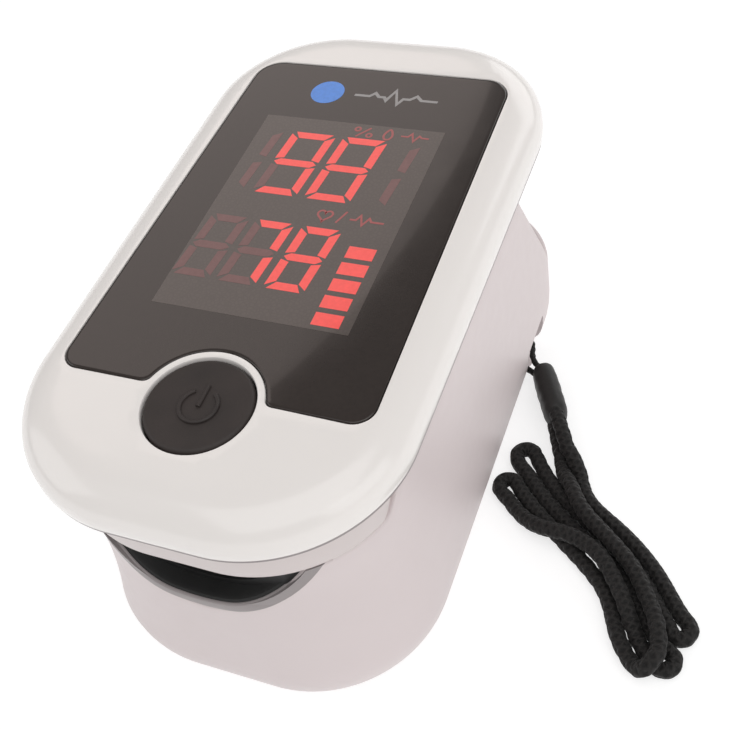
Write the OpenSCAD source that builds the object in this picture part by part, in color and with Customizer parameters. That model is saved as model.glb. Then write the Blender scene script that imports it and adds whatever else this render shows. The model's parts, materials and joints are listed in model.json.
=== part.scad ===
// Fingertip pulse oximeter with a wrist lanyard.
// X is the width, +Y points to the hinge end, the finger goes in at -Y, and +Z is up.
// The origin is on the table, under the middle of the casing. The jaw is drawn shut.

/* [Casing] */
// Length of the casing
body_l = 62; // [60:0.5:66]
// Width of the top cover
body_w = 35; // [34:0.5:38]
// Height of the closed casing
body_h = 31; // [31:0.5:33]
// Height of the parting line along the sides
seam_z = 27; // [26.8:0.1:27.2]
// Corner radius of the casing at the finger end, seen from above
corner_front = 13.4; // [12:0.2:14]
// Corner radius of the casing at the hinge end, seen from above
corner_rear = 12.4; // [11:0.2:13]
// Wall thickness of the casings
wall = 1.4; // [1.2:0.1:1.5]

/* [Hinge] */
// Distance of the hinge pin behind the middle of the casing
hinge_y = 13; // [12.5:0.1:13.5]
// Height of the hinge pin
hinge_z = 20.8; // [20.6:0.1:21]
// Diameter of the hinge pin
pin_d = 2; // [1.8:0.1:2.2]
// Free space all round the pin in its bores
pin_play = 0.04; // [0.02:0.01:0.08]

/* [Finger channel] */
// Half width of the mouth in the front wall
mouth_half_w = 12; // [11:0.5:12.5]
// Height of the bottom of the mouth
mouth_z = 14.5; // [14.4:0.1:15.5]
// Distance that the finger can go in, from the middle of the casing
channel_end = 7; // [6:0.5:7.5]
// Radius of the finger groove in the lower pad
groove_r = 9; // [8:0.5:10]

/* [Display] */
// Width of the display window at its front edge
window_w_front = 28.6; // [28:0.2:29]
// Width of the display window at its rear edge
window_w_rear = 27.2; // [26:0.2:28]
// Front edge of the display window
window_front = -18.8; // [-19.2:0.2:-18]
// Rear edge of the display window
window_rear = 24; // [23:0.2:24.4]
// Width of the lit area
screen_w = 18.8; // [18:0.2:19.4]
// Length of the lit area
screen_l = 26; // [25:0.2:27]
// Middle of the lit area
screen_y = 2.5; // [2:0.1:3]

/* [Button] */
// Diameter of the power button
button_d = 9.4; // [9:0.1:9.6]
// Middle of the power button
button_y = -20; // [-20.2:0.1:-19.8]
// How far the button goes down
button_travel = 0.5; // [0.3:0.05:0.5]

/* [Cells] */
// Diameter of a AAA cell
cell_d = 10.5; // [10.2:0.1:10.5]
// Length of a AAA cell with its nub
cell_l = 44.5; // [43.8:0.1:44.5]

/* [Lanyard] */
// Diameter of the braided cord
cord_d = 1.6; // [1.4:0.1:1.8]
// Diameter of the thin string at the casing
string_d = 0.7; // [0.6:0.1:0.8]
// Diameter of the post that the string goes round
post_d = 2.8; // [2.6:0.1:2.8]

/* [Hidden] */
$fn = 64;
eps = 0.01;

// Front and rear ends of the casing
front_y = -body_l / 2;
rear_y = body_l / 2;

// Lower casing: a little smaller than the cover, so the cover's edge shades the seam
lower_inset = 0.3;
lower_floor = 1.6;
rim_z = seam_z - 0.2;
lip_z = 21.8;
lip_end_y = -18;
rear_rim_z = 9;
v_start_y = hinge_y - 1;

// Inner levels of the lower half
tray_floor_z = 12.9;
tray_floor_t = 1.2;
deck_z = 20.4;
deck_t = 1;
lower_pad_z = 14.2;
lower_pad_top = 20.6;
pad_front_y = -27.6;
mouth_back_y = -20;
rim_t = 1.15;
front_ease = 1.5;
cell_z = 1.9 + cell_d / 2;
cell_x = 5.4;
cell_front = -26.3;

// Inner levels of the upper half
jaw_z = 20.95;
upper_floor_z = 23.1;
upper_floor_t = 1.1;
board_z = 25.2;
board_t = 0.8;
rear_floor_z = 25.8;
rear_floor_y = 17;
window_t = 1;
window_top = body_h - 0.1;
sensor_y = -8;

// Battery door and its grooves
door_w = 22.4;
door_front = -26.6;
door_gap = 0.2;

// Screws
post_places = [[-13.4, -15], [13.4, -15], [-13.4, 7.6], [13.4, 7.6]];
boss_places = [[-13.2, -21.5], [13.2, -21.5], [-11.6, 21.8], [11.6, 21.8]];
boss_r = 1.7;

// Lanyard post in a pocket at the lower right edge, near the hinge end
lanyard_post = [14.9, 14.2];
pocket_z = 0.8;
pocket_top = 4.8;

// Route of the thin string, from inside the sleeve, round the post and back into the sleeve
string_route = [
    [22.0, 6.0, 2.2], [20.6, 8.2, 2.2], [19.3, 10.3, 2.1], [18.3, 11.8, 2.0], [17.3, 12.9, 1.9],
    [16.8, 13.9, 1.9], [16.4, 15.3, 1.9], [15.4, 16.2, 1.9], [14.2, 15.9, 1.9], [13.1, 15.1, 1.9],
    [13.0, 13.8, 1.9], [13.7, 12.7, 1.9], [14.9, 12.3, 1.9], [16.4, 12.0, 1.7], [18.0, 11.3, 1.5],
    [19.1, 9.9, 1.4], [20.4, 7.6, 1.4], [21.6, 5.3, 1.4]
];

// Ends of the sleeve over the joint of string and cord
sleeve_a = [18.5, 11.8];
sleeve_b = [21.8, 5.6];
sleeve_w = 2.6;
sleeve_h = 4;

// Routes of the two cords between the sleeve and the hank
lead_out = [[21.4, 6.2, 3], [22.0, 5.2, 3], [22.7, 4.0, 2.9], [23.7, 2.4, 2.7], [25.0, 0.9, 2.5]];
lead_back = [[21.2, 6.1, 1], [21.7, 5.0, 0.9], [22.2, 3.8, 0.8], [22.9, 2.3, 0.8], [23.8, 0.8, 0.8]];

// Outline of the hank of folded cord
hank_h = 4.4;
hank_lobes = [
    [[20.6, -0.6], 2.9], [[21.6, -3.4], 3.6], [[25.6, -3.2], 3.3], [[29.4, -7.4], 3.7],
    [[33.2, -11.6], 4.1], [[35.2, -15.2], 4.0], [[36.0, -17.0], 3.3]
];

// ---------------------------------------------------------------- shared shapes

// Rounded outline of the casing, drawn in by a distance on all sides; ease rounds its front more
module casing_outline(inset, ease = 0) {
    hw = body_w / 2 - inset;
    rf = max(corner_front - inset + ease, 1);
    rr = max(corner_rear - inset, 1);
    yf = front_y + inset;
    yr = rear_y - inset;
    polygon([
        [-hw + rf, yf], [hw - rf, yf], [hw, yf + rf], [hw, yr - rr],
        [hw - rr, yr], [-hw + rr, yr], [-hw, yr - rr], [-hw, yf + rf]
    ]);
    for (s = [-1, 1]) {
        translate([s * (hw - rf), yf + rf]) circle(rf);
        translate([s * (hw - rr), yr - rr]) circle(rr);
    }
}

// A slab with the casing's outline, between two heights
module casing_slab(inset, z0, z1, ease = 0) {
    translate([0, 0, z0]) linear_extrude(z1 - z0) casing_outline(inset, ease);
}

// One thin layer of a hulled casing
module casing_layer(inset, z, h) {
    hw = body_w / 2 - inset;
    for (s = [-1, 1]) {
        translate([s * (hw - corner_front + inset), front_y + corner_front, z])
            cylinder(r = corner_front - inset, h = h, $fn = 48);
        translate([s * (hw - corner_rear + inset), rear_y - corner_rear, z])
            cylinder(r = corner_rear - inset, h = h, $fn = 48);
    }
}

// A block given by its lowest and highest corners
module block(low, high) {
    translate(low) cube(high - low);
}

// A block that is symmetric about the middle plane of the casing
module middle_block(w, y0, y1, z0, z1) {
    block([-w / 2, y0, z0], [w / 2, y1, z1]);
}

// A side outline, given as [y, z] points, pulled across the casing
module side_prism(w, points) {
    translate([-w / 2, 0, 0])
        rotate([90, 0, 90])
            linear_extrude(w) polygon(points);
}

// A round bar along X, centred on the middle plane
module cross_bar(r, len) {
    translate([-len / 2, hinge_y, hinge_z]) rotate([0, 90, 0]) cylinder(r = r, h = len);
}

// A round bar along Y
module long_bar(x, z, r, y0, y1) {
    translate([x, y1, z]) rotate([90, 0, 0]) cylinder(r = r, h = y1 - y0);
}

// A screw with a pan head below its shank
module screw(at, z, head_r, head_h, shank_r, len) {
    translate([at[0], at[1], z]) {
        difference() {
            cylinder(r = head_r, h = head_h);
            translate([-head_r, -0.15, -eps]) cube([2 * head_r, 0.3, 0.4]);
            translate([-0.15, -head_r, -eps]) cube([0.3, 2 * head_r, 0.4]);
        }
        cylinder(r = shank_r, h = len);
    }
}

// Direction from one point of a route to the next, and the ring of points round one of them
function along(route, i) =
    let(a = route[max(i - 1, 0)], b = route[min(i + 1, len(route) - 1)]) (b - a) / norm(b - a);
function ring(route, i, r, sides) =
    let(t = along(route, i), u = cross([0, 0, 1], t) / norm(cross([0, 0, 1], t)), v = cross(t, u))
    [for (k = [0:sides - 1]) route[i] + r * (cos(360 * k / sides) * u + sin(360 * k / sides) * v)];

// A cord along a route
module cord(route, d, sides = 8) {
    n = len(route);
    points = [for (i = [0:n - 1]) each ring(route, i, d / 2, sides)];
    skin = [
        for (i = [0:n - 2], k = [0:sides - 1])
            let(m = (k + 1) % sides)
            each [
                [i * sides + k, (i + 1) * sides + k, (i + 1) * sides + m],
                [i * sides + k, (i + 1) * sides + m, i * sides + m]
            ]
    ];
    first = [for (k = [0:sides - 1]) k];
    last = [for (k = [sides - 1:-1:0]) (n - 1) * sides + k];
    polyhedron(points, concat(skin, [first, last]));
}

// Line of the opening at the squeeze end, as a height for a place along the casing
v_low = [21.5, rear_rim_z + 0.4];
function v_rim(y) = rim_z - (y - v_start_y) * (rim_z - v_low[1]) / (v_low[0] - v_start_y);

// ---------------------------------------------------------------- lower half

module lower_outside() {
    hull() {
        casing_layer(lower_inset + 2.9, 0, eps);
        casing_layer(lower_inset + 1, 1.2, eps);
        casing_layer(lower_inset + 0.25, 2.6, eps);
        casing_layer(lower_inset, 4.2, rim_z - 4.2);
    }
}

// All that is cut from the lower casing's rim: the lip's step, the squeeze end and the mouth
module rim_cuts() {
    side_prism(60, [
        [front_y - 5, lip_z - 0.2], [lip_end_y - 4, lip_z - 0.2], [lip_end_y, rim_z + 1],
        [front_y - 5, rim_z + 5]
    ]);
    side_prism(60, [
        [v_start_y, rim_z + eps], v_low, [rear_y + 5, rear_rim_z - 0.6],
        [rear_y + 5, rim_z + 5], [v_start_y, rim_z + 5]
    ]);
    mouth_cut(0);
}

// The smile-shaped mouth, drawn in by the thickness of its rim
module mouth_cut(rim) {
    rise = lip_z - mouth_z;
    r = (mouth_half_w * mouth_half_w + rise * rise) / (2 * rise);
    long_bar(0, mouth_z + r, r - rim, front_y - 2, front_y + 10);
}

module lanyard_pocket() {
    block([12.1, 11.1, pocket_z], [20, 17.3, pocket_top]);
}

module bottom_cover() {
    color([0.84, 0.80, 0.80])
    difference() {
        union() {
            difference() {
                lower_outside();
                casing_slab(lower_inset + wall, lower_floor, body_h);
            }
            intersection() {
                block([11.4, 10.4, 0], [20, 18, 5.6]);
                lower_outside();
            }
            for (p = post_places) {
                translate([p[0], p[1], lower_floor - eps]) cylinder(r = 1.9, h = 2.4);
            }
            middle_block(32, 18.9, 19.8, lower_floor - eps, 9.2);
        }
        rim_cuts();
        middle_block(door_w + 2 * door_gap, door_front - door_gap, rear_y + 1, -1, lower_floor + eps);
        middle_block(door_w + 2.4, door_front - door_gap, rear_y + 1, 0.75, lower_floor + eps);
        for (p = post_places) {
            translate([p[0], p[1], -1]) cylinder(r = 0.85, h = 8);
            translate([p[0], p[1], -1]) cylinder(r = 1.5, h = 2.2);
        }
        difference() {
            lanyard_pocket();
            translate([lanyard_post[0], lanyard_post[1], 0]) cylinder(r = post_d / 2, h = 6);
        }
    }
}

// Ears of a hinge half: two plates with the pin's bore
module ears(x0, x1, z_foot, r) {
    for (s = [-1, 1]) {
        difference() {
            union() {
                translate([s > 0 ? x0 : -x1, hinge_y, hinge_z])
                    rotate([0, 90, 0]) cylinder(r = r, h = x1 - x0);
                block(
                    [s > 0 ? x0 : -x1, hinge_y - r, min(z_foot, hinge_z)],
                    [s > 0 ? x1 : -x0, hinge_y + r, max(z_foot, hinge_z)]
                );
            }
            cross_bar(pin_d / 2 + pin_play, 60);
        }
    }
}

module lower_tray() {
    color([0.62, 0.60, 0.60])
    union() {
        difference() {
            union() {
                difference() {
                    casing_slab(lower_inset + wall + 0.1, tray_floor_z, deck_z, front_ease);
                    middle_block(60, channel_end + 1.6, rear_y + 1, tray_floor_z + tray_floor_t, deck_z + 1);
                }
                for (p = post_places) {
                    translate([p[0], p[1], 4.2]) cylinder(r = 1.7, h = tray_floor_z - 4.2 + eps);
                }
            }
            side_prism(60, [
                [17.2, 30], [17.2, tray_floor_z - 1], [40, tray_floor_z - 1], [40, 30]
            ]);
            middle_block(24, front_y, channel_end + 0.2, tray_floor_z + tray_floor_t, deck_z + 1);
            for (s = [-1, 1]) {
                translate([s * 14, 0, 0])
                    middle_block(2.2, front_y + 9, channel_end, tray_floor_z - 1, deck_z - deck_t);
            }
            for (p = post_places) {
                translate([p[0], p[1], 4]) cylinder(r = 0.81, h = 4.4);
            }
        }
        mouth_rim();
        squeeze_plate();
        ears(11.6, 13.6, tray_floor_z + 0.2, 2);
    }
}

// Rim of the mouth: a thin bent strip in the casing's front wall, on a low wall behind it
module mouth_rim() {
    inner = lower_inset + wall;
    intersection() {
        difference() {
            mouth_cut(0.15);
            mouth_cut(rim_t);
        }
        difference() {
            casing_slab(inner - 0.15, mouth_z - 3, lip_z - 0.8, front_ease);
            casing_slab(inner + 0.3, mouth_z - 4, body_h, front_ease);
        }
        middle_block(60, front_y, mouth_back_y, 0, body_h);
    }
    difference() {
        intersection() {
            casing_slab(inner + 0.1, tray_floor_z + 0.5, deck_z - 0.4, front_ease);
            middle_block(24.4, front_y, pad_front_y - 0.2, 0, body_h);
        }
        mouth_cut(rim_t);
    }
}

// Plate that closes the lower half at the squeeze end
module squeeze_plate() {
    t = 1;
    intersection() {
        casing_slab(lower_inset + wall + 0.1, 2, rim_z);
        side_prism(60, [
            [15.4, v_rim(15.4) - 0.6], [v_low[0], v_low[1] - 0.6], [rear_y, rear_rim_z - 1.2],
            [rear_y, rear_rim_z - 1.2 - t], [v_low[0] - 0.5, v_low[1] - 0.6 - t],
            [17.3, tray_floor_z], [15.4, tray_floor_z]
        ]);
    }
}

module lower_pad() {
    color([0.12, 0.12, 0.13])
    difference() {
        intersection() {
            casing_slab(lower_inset + wall + 0.4, lower_pad_z, lower_pad_top, front_ease);
            middle_block(23.6, pad_front_y, channel_end, 0, body_h);
        }
        long_bar(0, lower_pad_top + 5, groove_r, front_y - 1, -1.5);
        translate([0, -1.5, lower_pad_top + 5]) sphere(groove_r, $fn = 48);
        middle_block(12.6, sensor_y - 6.3, sensor_y + 6.3, 14, 15.1);
        middle_block(5.2, sensor_y - 2.6, sensor_y + 2.6, 14, 20);
    }
}

module sensor_board() {
    color([0.10, 0.36, 0.22])
    middle_block(12, sensor_y - 6, sensor_y + 6, 14.2, 15);
}

module photodiode() {
    color([0.16, 0.14, 0.20])
    union() {
        middle_block(4, sensor_y - 2, sensor_y + 2, 15, 15.8);
        middle_block(2.8, sensor_y - 1.4, sensor_y + 1.4, 15.7, 16);
    }
}

module detector_window() {
    color([0.75, 0.80, 0.85])
    difference() {
        middle_block(5, sensor_y - 2.5, sensor_y + 2.5, 16.05, 17);
        long_bar(0, lower_pad_top + 5, groove_r, sensor_y - 4, sensor_y + 4);
    }
}

module battery(x) {
    color([0.80, 0.62, 0.25])
    union() {
        long_bar(x, cell_z, cell_d / 2, cell_front, cell_front + cell_l - 0.8);
        long_bar(x, cell_z, 2.6, cell_front, cell_front + cell_l);
    }
}

module battery_left() {
    battery(-cell_x);
}

module battery_right() {
    battery(cell_x);
}

module battery_springs() {
    color([0.80, 0.81, 0.83])
    for (s = [-1, 1]) {
        translate([s * cell_x, cell_front, cell_z])
            rotate([90, 0, 0]) cylinder(r1 = 3, r2 = 2, h = 2.2);
    }
}

module battery_plates() {
    color([0.80, 0.81, 0.83])
    for (s = [-1, 1]) {
        translate([s * cell_x, 0, 0])
            middle_block(8, cell_front + cell_l, cell_front + cell_l + 0.4, 2.4, 10);
    }
}

module battery_door() {
    color([0.84, 0.80, 0.80])
    difference() {
        union() {
            intersection() {
                lower_outside();
                middle_block(door_w, door_front, rear_y, door_gap, 1.45);
            }
            middle_block(door_w + 1.6, door_front + 0.5, rear_y - 8, 0.95, 1.45);
        }
        for (i = [0:4]) {
            middle_block(10, 17 + i * 1.6, 17.7 + i * 1.6, 0, 0.5);
        }
    }
}

module case_screws() {
    color([0.72, 0.73, 0.75])
    for (p = post_places) screw(p, 0.25, 1.35, 0.9, 0.79, 7.6);
}

module hinge_pin() {
    color([0.75, 0.76, 0.78])
    cross_bar(pin_d / 2, 29.2);
}

// Two torsion springs on the pin, each with a straight leg on either tray
module torsion_springs() {
    color([0.78, 0.79, 0.80])
    for (s = [-1, 1]) {
        translate([s * 5.6 - 1.6, 0, 0]) {
            difference() {
                translate([0, hinge_y, hinge_z]) rotate([0, 90, 0]) cylinder(r = 1.9, h = 3.2);
                cross_bar(pin_d / 2 + 0.3, 60);
            }
            block([0, hinge_y - 4.2, hinge_z - 1.9], [0.5, hinge_y, hinge_z - 1.4]);
            block([2.7, hinge_y, hinge_z + 1.4], [3.2, hinge_y + 5, hinge_z + 1.9]);
        }
    }
}

// ---------------------------------------------------------------- upper half

// Outline of the display window: slightly tapered, with a round notch for the button
module window_outline(grow) {
    wf = window_w_front / 2 + grow;
    wr = window_w_rear / 2 + grow;
    yf = window_front - grow;
    yr = window_rear + grow;
    rf = 1.8 + grow;
    rr = 2.6 + grow;
    difference() {
        union() {
            polygon([
                [-wf + rf, yf], [wf - rf, yf], [wf, yf + rf], [wr, yr - rr],
                [wr - rr, yr], [-wr + rr, yr], [-wr, yr - rr], [-wf, yf + rf]
            ]);
            for (s = [-1, 1]) {
                translate([s * (wf - rf), yf + rf]) circle(rf);
                translate([s * (wr - rr), yr - rr]) circle(rr);
            }
        }
        translate([0, button_y]) circle(button_d / 2 + 0.9 - grow);
    }
}

module top_outside() {
    hull() {
        casing_layer(0, seam_z, 1.4);
        casing_layer(0.5, seam_z + 2.3, eps);
        casing_layer(1.6, body_h - 0.6, eps);
        casing_layer(3.2, body_h - 0.1, eps);
        casing_layer(5, body_h - eps, eps);
    }
}

module top_cover() {
    color([0.92, 0.90, 0.88])
    difference() {
        union() {
            difference() {
                top_outside();
                casing_slab(wall, seam_z - 1, seam_z + 1.4);
                casing_slab(wall + 1.4, seam_z - 1, body_h - 1.9);
            }
            for (p = boss_places) {
                foot = p[1] > 0 ? 27 : 24.3;
                translate([p[0], p[1], foot]) cylinder(r = boss_r, h = body_h - 1.8 - foot);
            }
        }
        for (p = boss_places) {
            translate([p[0], p[1], 20]) cylinder(r = 0.76, h = 9);
        }
        translate([0, 0, window_top - window_t - 0.05]) linear_extrude(3) window_outline(0.1);
        middle_block(screen_w + 1.6, screen_y - screen_l / 2 - 0.8, screen_y + screen_l / 2 + 0.8, 27, 32);
        translate([0, button_y, 20]) cylinder(r = button_d / 2 + 0.3, h = 20);
    }
}

module upper_tray() {
    color([0.90, 0.85, 0.84])
    difference() {
        union() {
            casing_slab(2.2, upper_floor_z, 28.2);
            intersection() {
                casing_slab(2.2, jaw_z, upper_floor_z + 1);
                middle_block(60, front_y, 9, 0, body_h);
            }
            intersection() {
                casing_slab(1.65, lip_z, seam_z - 0.05, 1);
                side_prism(60, [
                    [front_y, lip_z], [lip_end_y - 4.4, lip_z], [lip_end_y - 0.4, seam_z + 0.5],
                    [front_y, seam_z + 0.5]
                ]);
            }
            ears(9, 11.2, upper_floor_z + 0.5, 2);
        }
        middle_block(60, rear_floor_y, rear_y + 1, 20, rear_floor_z);
        difference() {
            casing_slab(3.2, upper_floor_z + upper_floor_t, body_h);
            middle_block(60, rear_floor_y - 1, rear_y + 1, 20, rear_floor_z + 1);
        }
        middle_block(24, front_y + 2.4, channel_end + 0.2, jaw_z - 1, upper_floor_z);
        middle_block(24, front_y, front_y + 3, jaw_z - 1, lip_z - eps);
        middle_block(5.2, sensor_y - 2.6, sensor_y + 2.6, 20, 30);
        for (p = boss_places) {
            translate([p[0], p[1], 20]) cylinder(r = 0.8, h = 10);
            if (p[1] < 0) {
                translate([p[0], p[1], 20]) cylinder(r = 1.35, h = 3.2);
                translate([p[0], p[1], upper_floor_z + upper_floor_t])
                    cylinder(r = boss_r + 0.1, h = 10);
            }
        }
    }
}

module upper_pad() {
    drop = 1.75;
    half = 7.5;
    r = (half * half + drop * drop) / (2 * drop);
    color([0.12, 0.12, 0.13])
    difference() {
        intersection() {
            casing_slab(2.6, jaw_z, upper_floor_z);
            middle_block(23.6, front_y, channel_end, 0, body_h);
        }
        long_bar(0, jaw_z + drop - r, r, front_y - 1, channel_end - 2);
        middle_block(5.2, sensor_y - 2.6, sensor_y + 2.6, 20, 30);
    }
}

module main_board() {
    color([0.10, 0.36, 0.22])
    difference() {
        middle_block(21.4, -27, 15, board_z, board_z + board_t);
        for (s = [-1, 1]) {
            translate([s * 11, -27, 20]) cylinder(r = 3, h = 10);
        }
    }
}

module chip(x, y, w, l) {
    translate([x, 0, 0]) {
        middle_block(w, y - l / 2, y + l / 2, board_z - 0.85, board_z - 0.15);
        for (i = [-2:2]) {
            translate([0, y + i * l / 6, 0])
                middle_block(w + 1.4, -0.2, 0.2, board_z - 0.3, board_z);
        }
    }
}

module processor() {
    color([0.08, 0.08, 0.09])
    chip(-4, 2.5, 7, 7);
}

module signal_amplifier() {
    color([0.08, 0.08, 0.09])
    chip(5.6, 3, 4, 5);
}

module led_display() {
    color([0.22, 0.20, 0.20])
    middle_block(
        screen_w + 0.8, screen_y - screen_l / 2 - 0.4, screen_y + screen_l / 2 + 0.4,
        board_z + board_t, 29.65
    );
}

// Bars of one seven-bar digit that are drawn, in the order top, upper left, upper right,
// middle, lower left, lower right, bottom
module digit(x, y, w, h, bars) {
    t = 0.9;
    gap = 0.15;
    half = h / 2;
    lean = 0.08;
    multmatrix([[1, lean, 0, x - lean * half], [0, 1, 0, y], [0, 0, 1, 0]])
        for (i = [0:6]) {
            if (bars[i] == 1) {
                if (i == 0) translate([gap, h - t]) square([w - 2 * gap, t]);
                if (i == 1) translate([0, half + gap]) square([t, half - t - 2 * gap]);
                if (i == 2) translate([w - t, half + gap]) square([t, half - t - 2 * gap]);
                if (i == 3) translate([t + gap, half - t / 2]) square([w - 2 * t - 2 * gap, t]);
                if (i == 4) translate([0, t + gap]) square([t, half - t - 2 * gap]);
                if (i == 5) translate([w - t, t + gap]) square([t, half - t - 2 * gap]);
                if (i == 6) translate([gap, 0]) square([w - 2 * gap, t]);
            }
        }
}

// Places on the screen, counted from its lower left corner
screen_corner = [-screen_w / 2, screen_y - screen_l / 2];
seg_z = 29.65;
seg_h = 0.15;

module lit_segments() {
    color([0.92, 0.30, 0.28])
    translate([screen_corner[0], screen_corner[1], seg_z]) linear_extrude(seg_h) {
        digit(3.4, 15, 4.6, 8.8, [1, 1, 1, 1, 0, 1, 1]);
        digit(8.8, 15, 4.6, 8.8, [1, 1, 1, 1, 1, 1, 1]);
        digit(4.9, 3.6, 3.8, 7.8, [1, 0, 1, 0, 0, 1, 0]);
        digit(9.6, 3.6, 3.8, 7.8, [1, 1, 1, 1, 1, 1, 1]);
        for (i = [0:4]) {
            translate([15.2, 0.5 + i * 1.95]) square([2.6, 1.4]);
        }
    }
}

module dim_segments() {
    color([0.45, 0.34, 0.34])
    translate([screen_corner[0], screen_corner[1], seg_z]) linear_extrude(seg_h) {
        digit(3.4, 15, 4.6, 8.8, [0, 0, 0, 0, 1, 0, 0]);
        digit(4.9, 3.6, 3.8, 7.8, [0, 1, 0, 1, 1, 0, 1]);
        digit(0.3, 3.6, 3.8, 7.8, [1, 1, 1, 1, 1, 1, 1]);
        digit(-1.7, 15, 4.2, 8.8, [0, 0, 1, 0, 0, 1, 0]);
        digit(12.1, 15, 4.6, 8.8, [0, 0, 1, 0, 0, 1, 0]);
    }
}

module display_window() {
    color([0.10, 0.09, 0.09])
    translate([0, 0, window_top - window_t]) linear_extrude(window_t) window_outline(0);
}

module light_emitter() {
    color([0.85, 0.86, 0.88])
    union() {
        middle_block(3.6, sensor_y - 1.8, sensor_y + 1.8, 24.2, board_z);
        translate([0, sensor_y, 23.4]) cylinder(r = 1.3, h = 1);
    }
}

module emitter_window() {
    color([0.75, 0.80, 0.85])
    middle_block(5, sensor_y - 2.5, sensor_y + 2.5, 22.75, 23.2);
}

module buzzer() {
    color([0.09, 0.09, 0.10])
    difference() {
        translate([0, 21.6, 26.85]) cylinder(r = 4.2, h = 1.9);
        translate([0, 21.6, 28.2]) cylinder(r = 0.7, h = 2);
    }
}

module tact_switch() {
    color([0.75, 0.76, 0.78])
    difference() {
        middle_block(5.6, button_y - 2.8, button_y + 2.8, board_z + board_t, 26.9);
        translate([0, button_y, board_z + board_t + 0.2]) cylinder(r = 1.26, h = 2);
    }
}

module cover_screws() {
    color([0.72, 0.73, 0.75])
    for (p = boss_places) {
        z = p[1] > 0 ? rear_floor_z - 0.95 : upper_floor_z - 0.9;
        screw(p, z, 1.15, 0.9, 0.74, p[1] > 0 ? 3.4 : 4.4);
    }
}

module power_button() {
    color([0.14, 0.13, 0.13])
    union() {
        translate([0, button_y, 28.5]) cylinder(r = button_d / 2, h = body_h - 0.35 - 28.5);
        translate([0, button_y, body_h - 0.35 - eps])
            cylinder(r1 = button_d / 2, r2 = button_d / 2 - 0.5, h = 0.3);
        translate([0, button_y, 28.15]) cylinder(r = button_d / 2 + 0.9, h = 0.6);
        translate([0, button_y, 27.42]) cylinder(r = 1.5, h = 1);
    }
}

module switch_plunger() {
    color([0.85, 0.30, 0.20])
    translate([0, button_y, 26.75]) cylinder(r = 1.2, h = 0.65);
}

// ---------------------------------------------------------------- lanyard

module lanyard_string() {
    color([0.14, 0.14, 0.15])
    cord(string_route, string_d);
}

module lanyard_sleeve() {
    run = sleeve_b - sleeve_a;
    r = sleeve_w / 2;
    color([0.10, 0.10, 0.10])
    translate([sleeve_a[0], sleeve_a[1], r])
        rotate([0, 90, atan2(run[1], run[0])])
            hull() {
                cylinder(r = r, h = norm(run), $fn = 32);
                translate([-(sleeve_h - sleeve_w), 0, 0]) cylinder(r = r, h = norm(run), $fn = 32);
            }
}

module lanyard_leads() {
    color([0.13, 0.13, 0.13]) {
        cord(lead_out, cord_d);
        cord(lead_back, cord_d);
    }
}

module lanyard_hank() {
    color([0.13, 0.13, 0.13])
    linear_extrude(hank_h)
        for (i = [0:len(hank_lobes) - 2]) {
            hull() {
                translate(hank_lobes[i][0]) circle(hank_lobes[i][1], $fn = 32);
                translate(hank_lobes[i + 1][0]) circle(hank_lobes[i + 1][1], $fn = 32);
            }
        }
}

// ---------------------------------------------------------------- what is drawn

bottom_cover();
lower_tray();
lower_pad();
sensor_board();
photodiode();
detector_window();
battery_left();
battery_right();
battery_springs();
battery_plates();
battery_door();
case_screws();
hinge_pin();
torsion_springs();
top_cover();
upper_tray();
upper_pad();
main_board();
processor();
signal_amplifier();
led_display();
lit_segments();
dim_segments();
display_window();
light_emitter();
emitter_window();
buzzer();
tact_switch();
cover_screws();
power_button();
switch_plunger();
lanyard_string();
lanyard_sleeve();
lanyard_leads();
lanyard_hank();
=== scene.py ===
"""Looks of a fingertip pulse oximeter with its lanyard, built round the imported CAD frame.

Shapes are worked out in millimetres, in the frame's own axes, and built in metres.
"""
import json
import math

import bmesh
import bpy
import numpy as np
from mathutils import Matrix, Vector
from mathutils.geometry import delaunay_2d_cdt


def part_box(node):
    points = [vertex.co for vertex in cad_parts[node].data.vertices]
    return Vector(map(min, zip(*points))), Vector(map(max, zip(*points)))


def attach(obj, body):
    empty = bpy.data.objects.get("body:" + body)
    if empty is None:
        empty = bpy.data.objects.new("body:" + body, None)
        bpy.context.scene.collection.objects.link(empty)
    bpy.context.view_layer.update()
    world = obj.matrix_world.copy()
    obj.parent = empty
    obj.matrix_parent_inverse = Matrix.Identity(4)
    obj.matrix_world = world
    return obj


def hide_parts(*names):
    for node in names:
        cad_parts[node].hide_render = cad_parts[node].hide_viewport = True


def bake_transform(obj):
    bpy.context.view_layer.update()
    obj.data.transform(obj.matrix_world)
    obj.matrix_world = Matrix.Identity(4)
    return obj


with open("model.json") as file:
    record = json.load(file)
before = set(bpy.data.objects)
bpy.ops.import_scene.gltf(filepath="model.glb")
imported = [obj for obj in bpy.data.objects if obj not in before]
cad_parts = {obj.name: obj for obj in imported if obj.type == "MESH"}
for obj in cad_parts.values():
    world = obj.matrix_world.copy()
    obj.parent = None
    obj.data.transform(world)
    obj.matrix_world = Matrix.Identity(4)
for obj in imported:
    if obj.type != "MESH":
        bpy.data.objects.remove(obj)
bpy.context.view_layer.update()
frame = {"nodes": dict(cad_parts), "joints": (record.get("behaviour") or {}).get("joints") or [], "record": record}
MM = 0.001
UPPER, LOWER = "upper_half", "lower_half"


# ---- sizes from the frame


def span(node):
    """Lowest and highest corner of a CAD node, in millimetres."""
    low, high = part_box(node)
    return np.array(low) / MM, np.array(high) / MM


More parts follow.
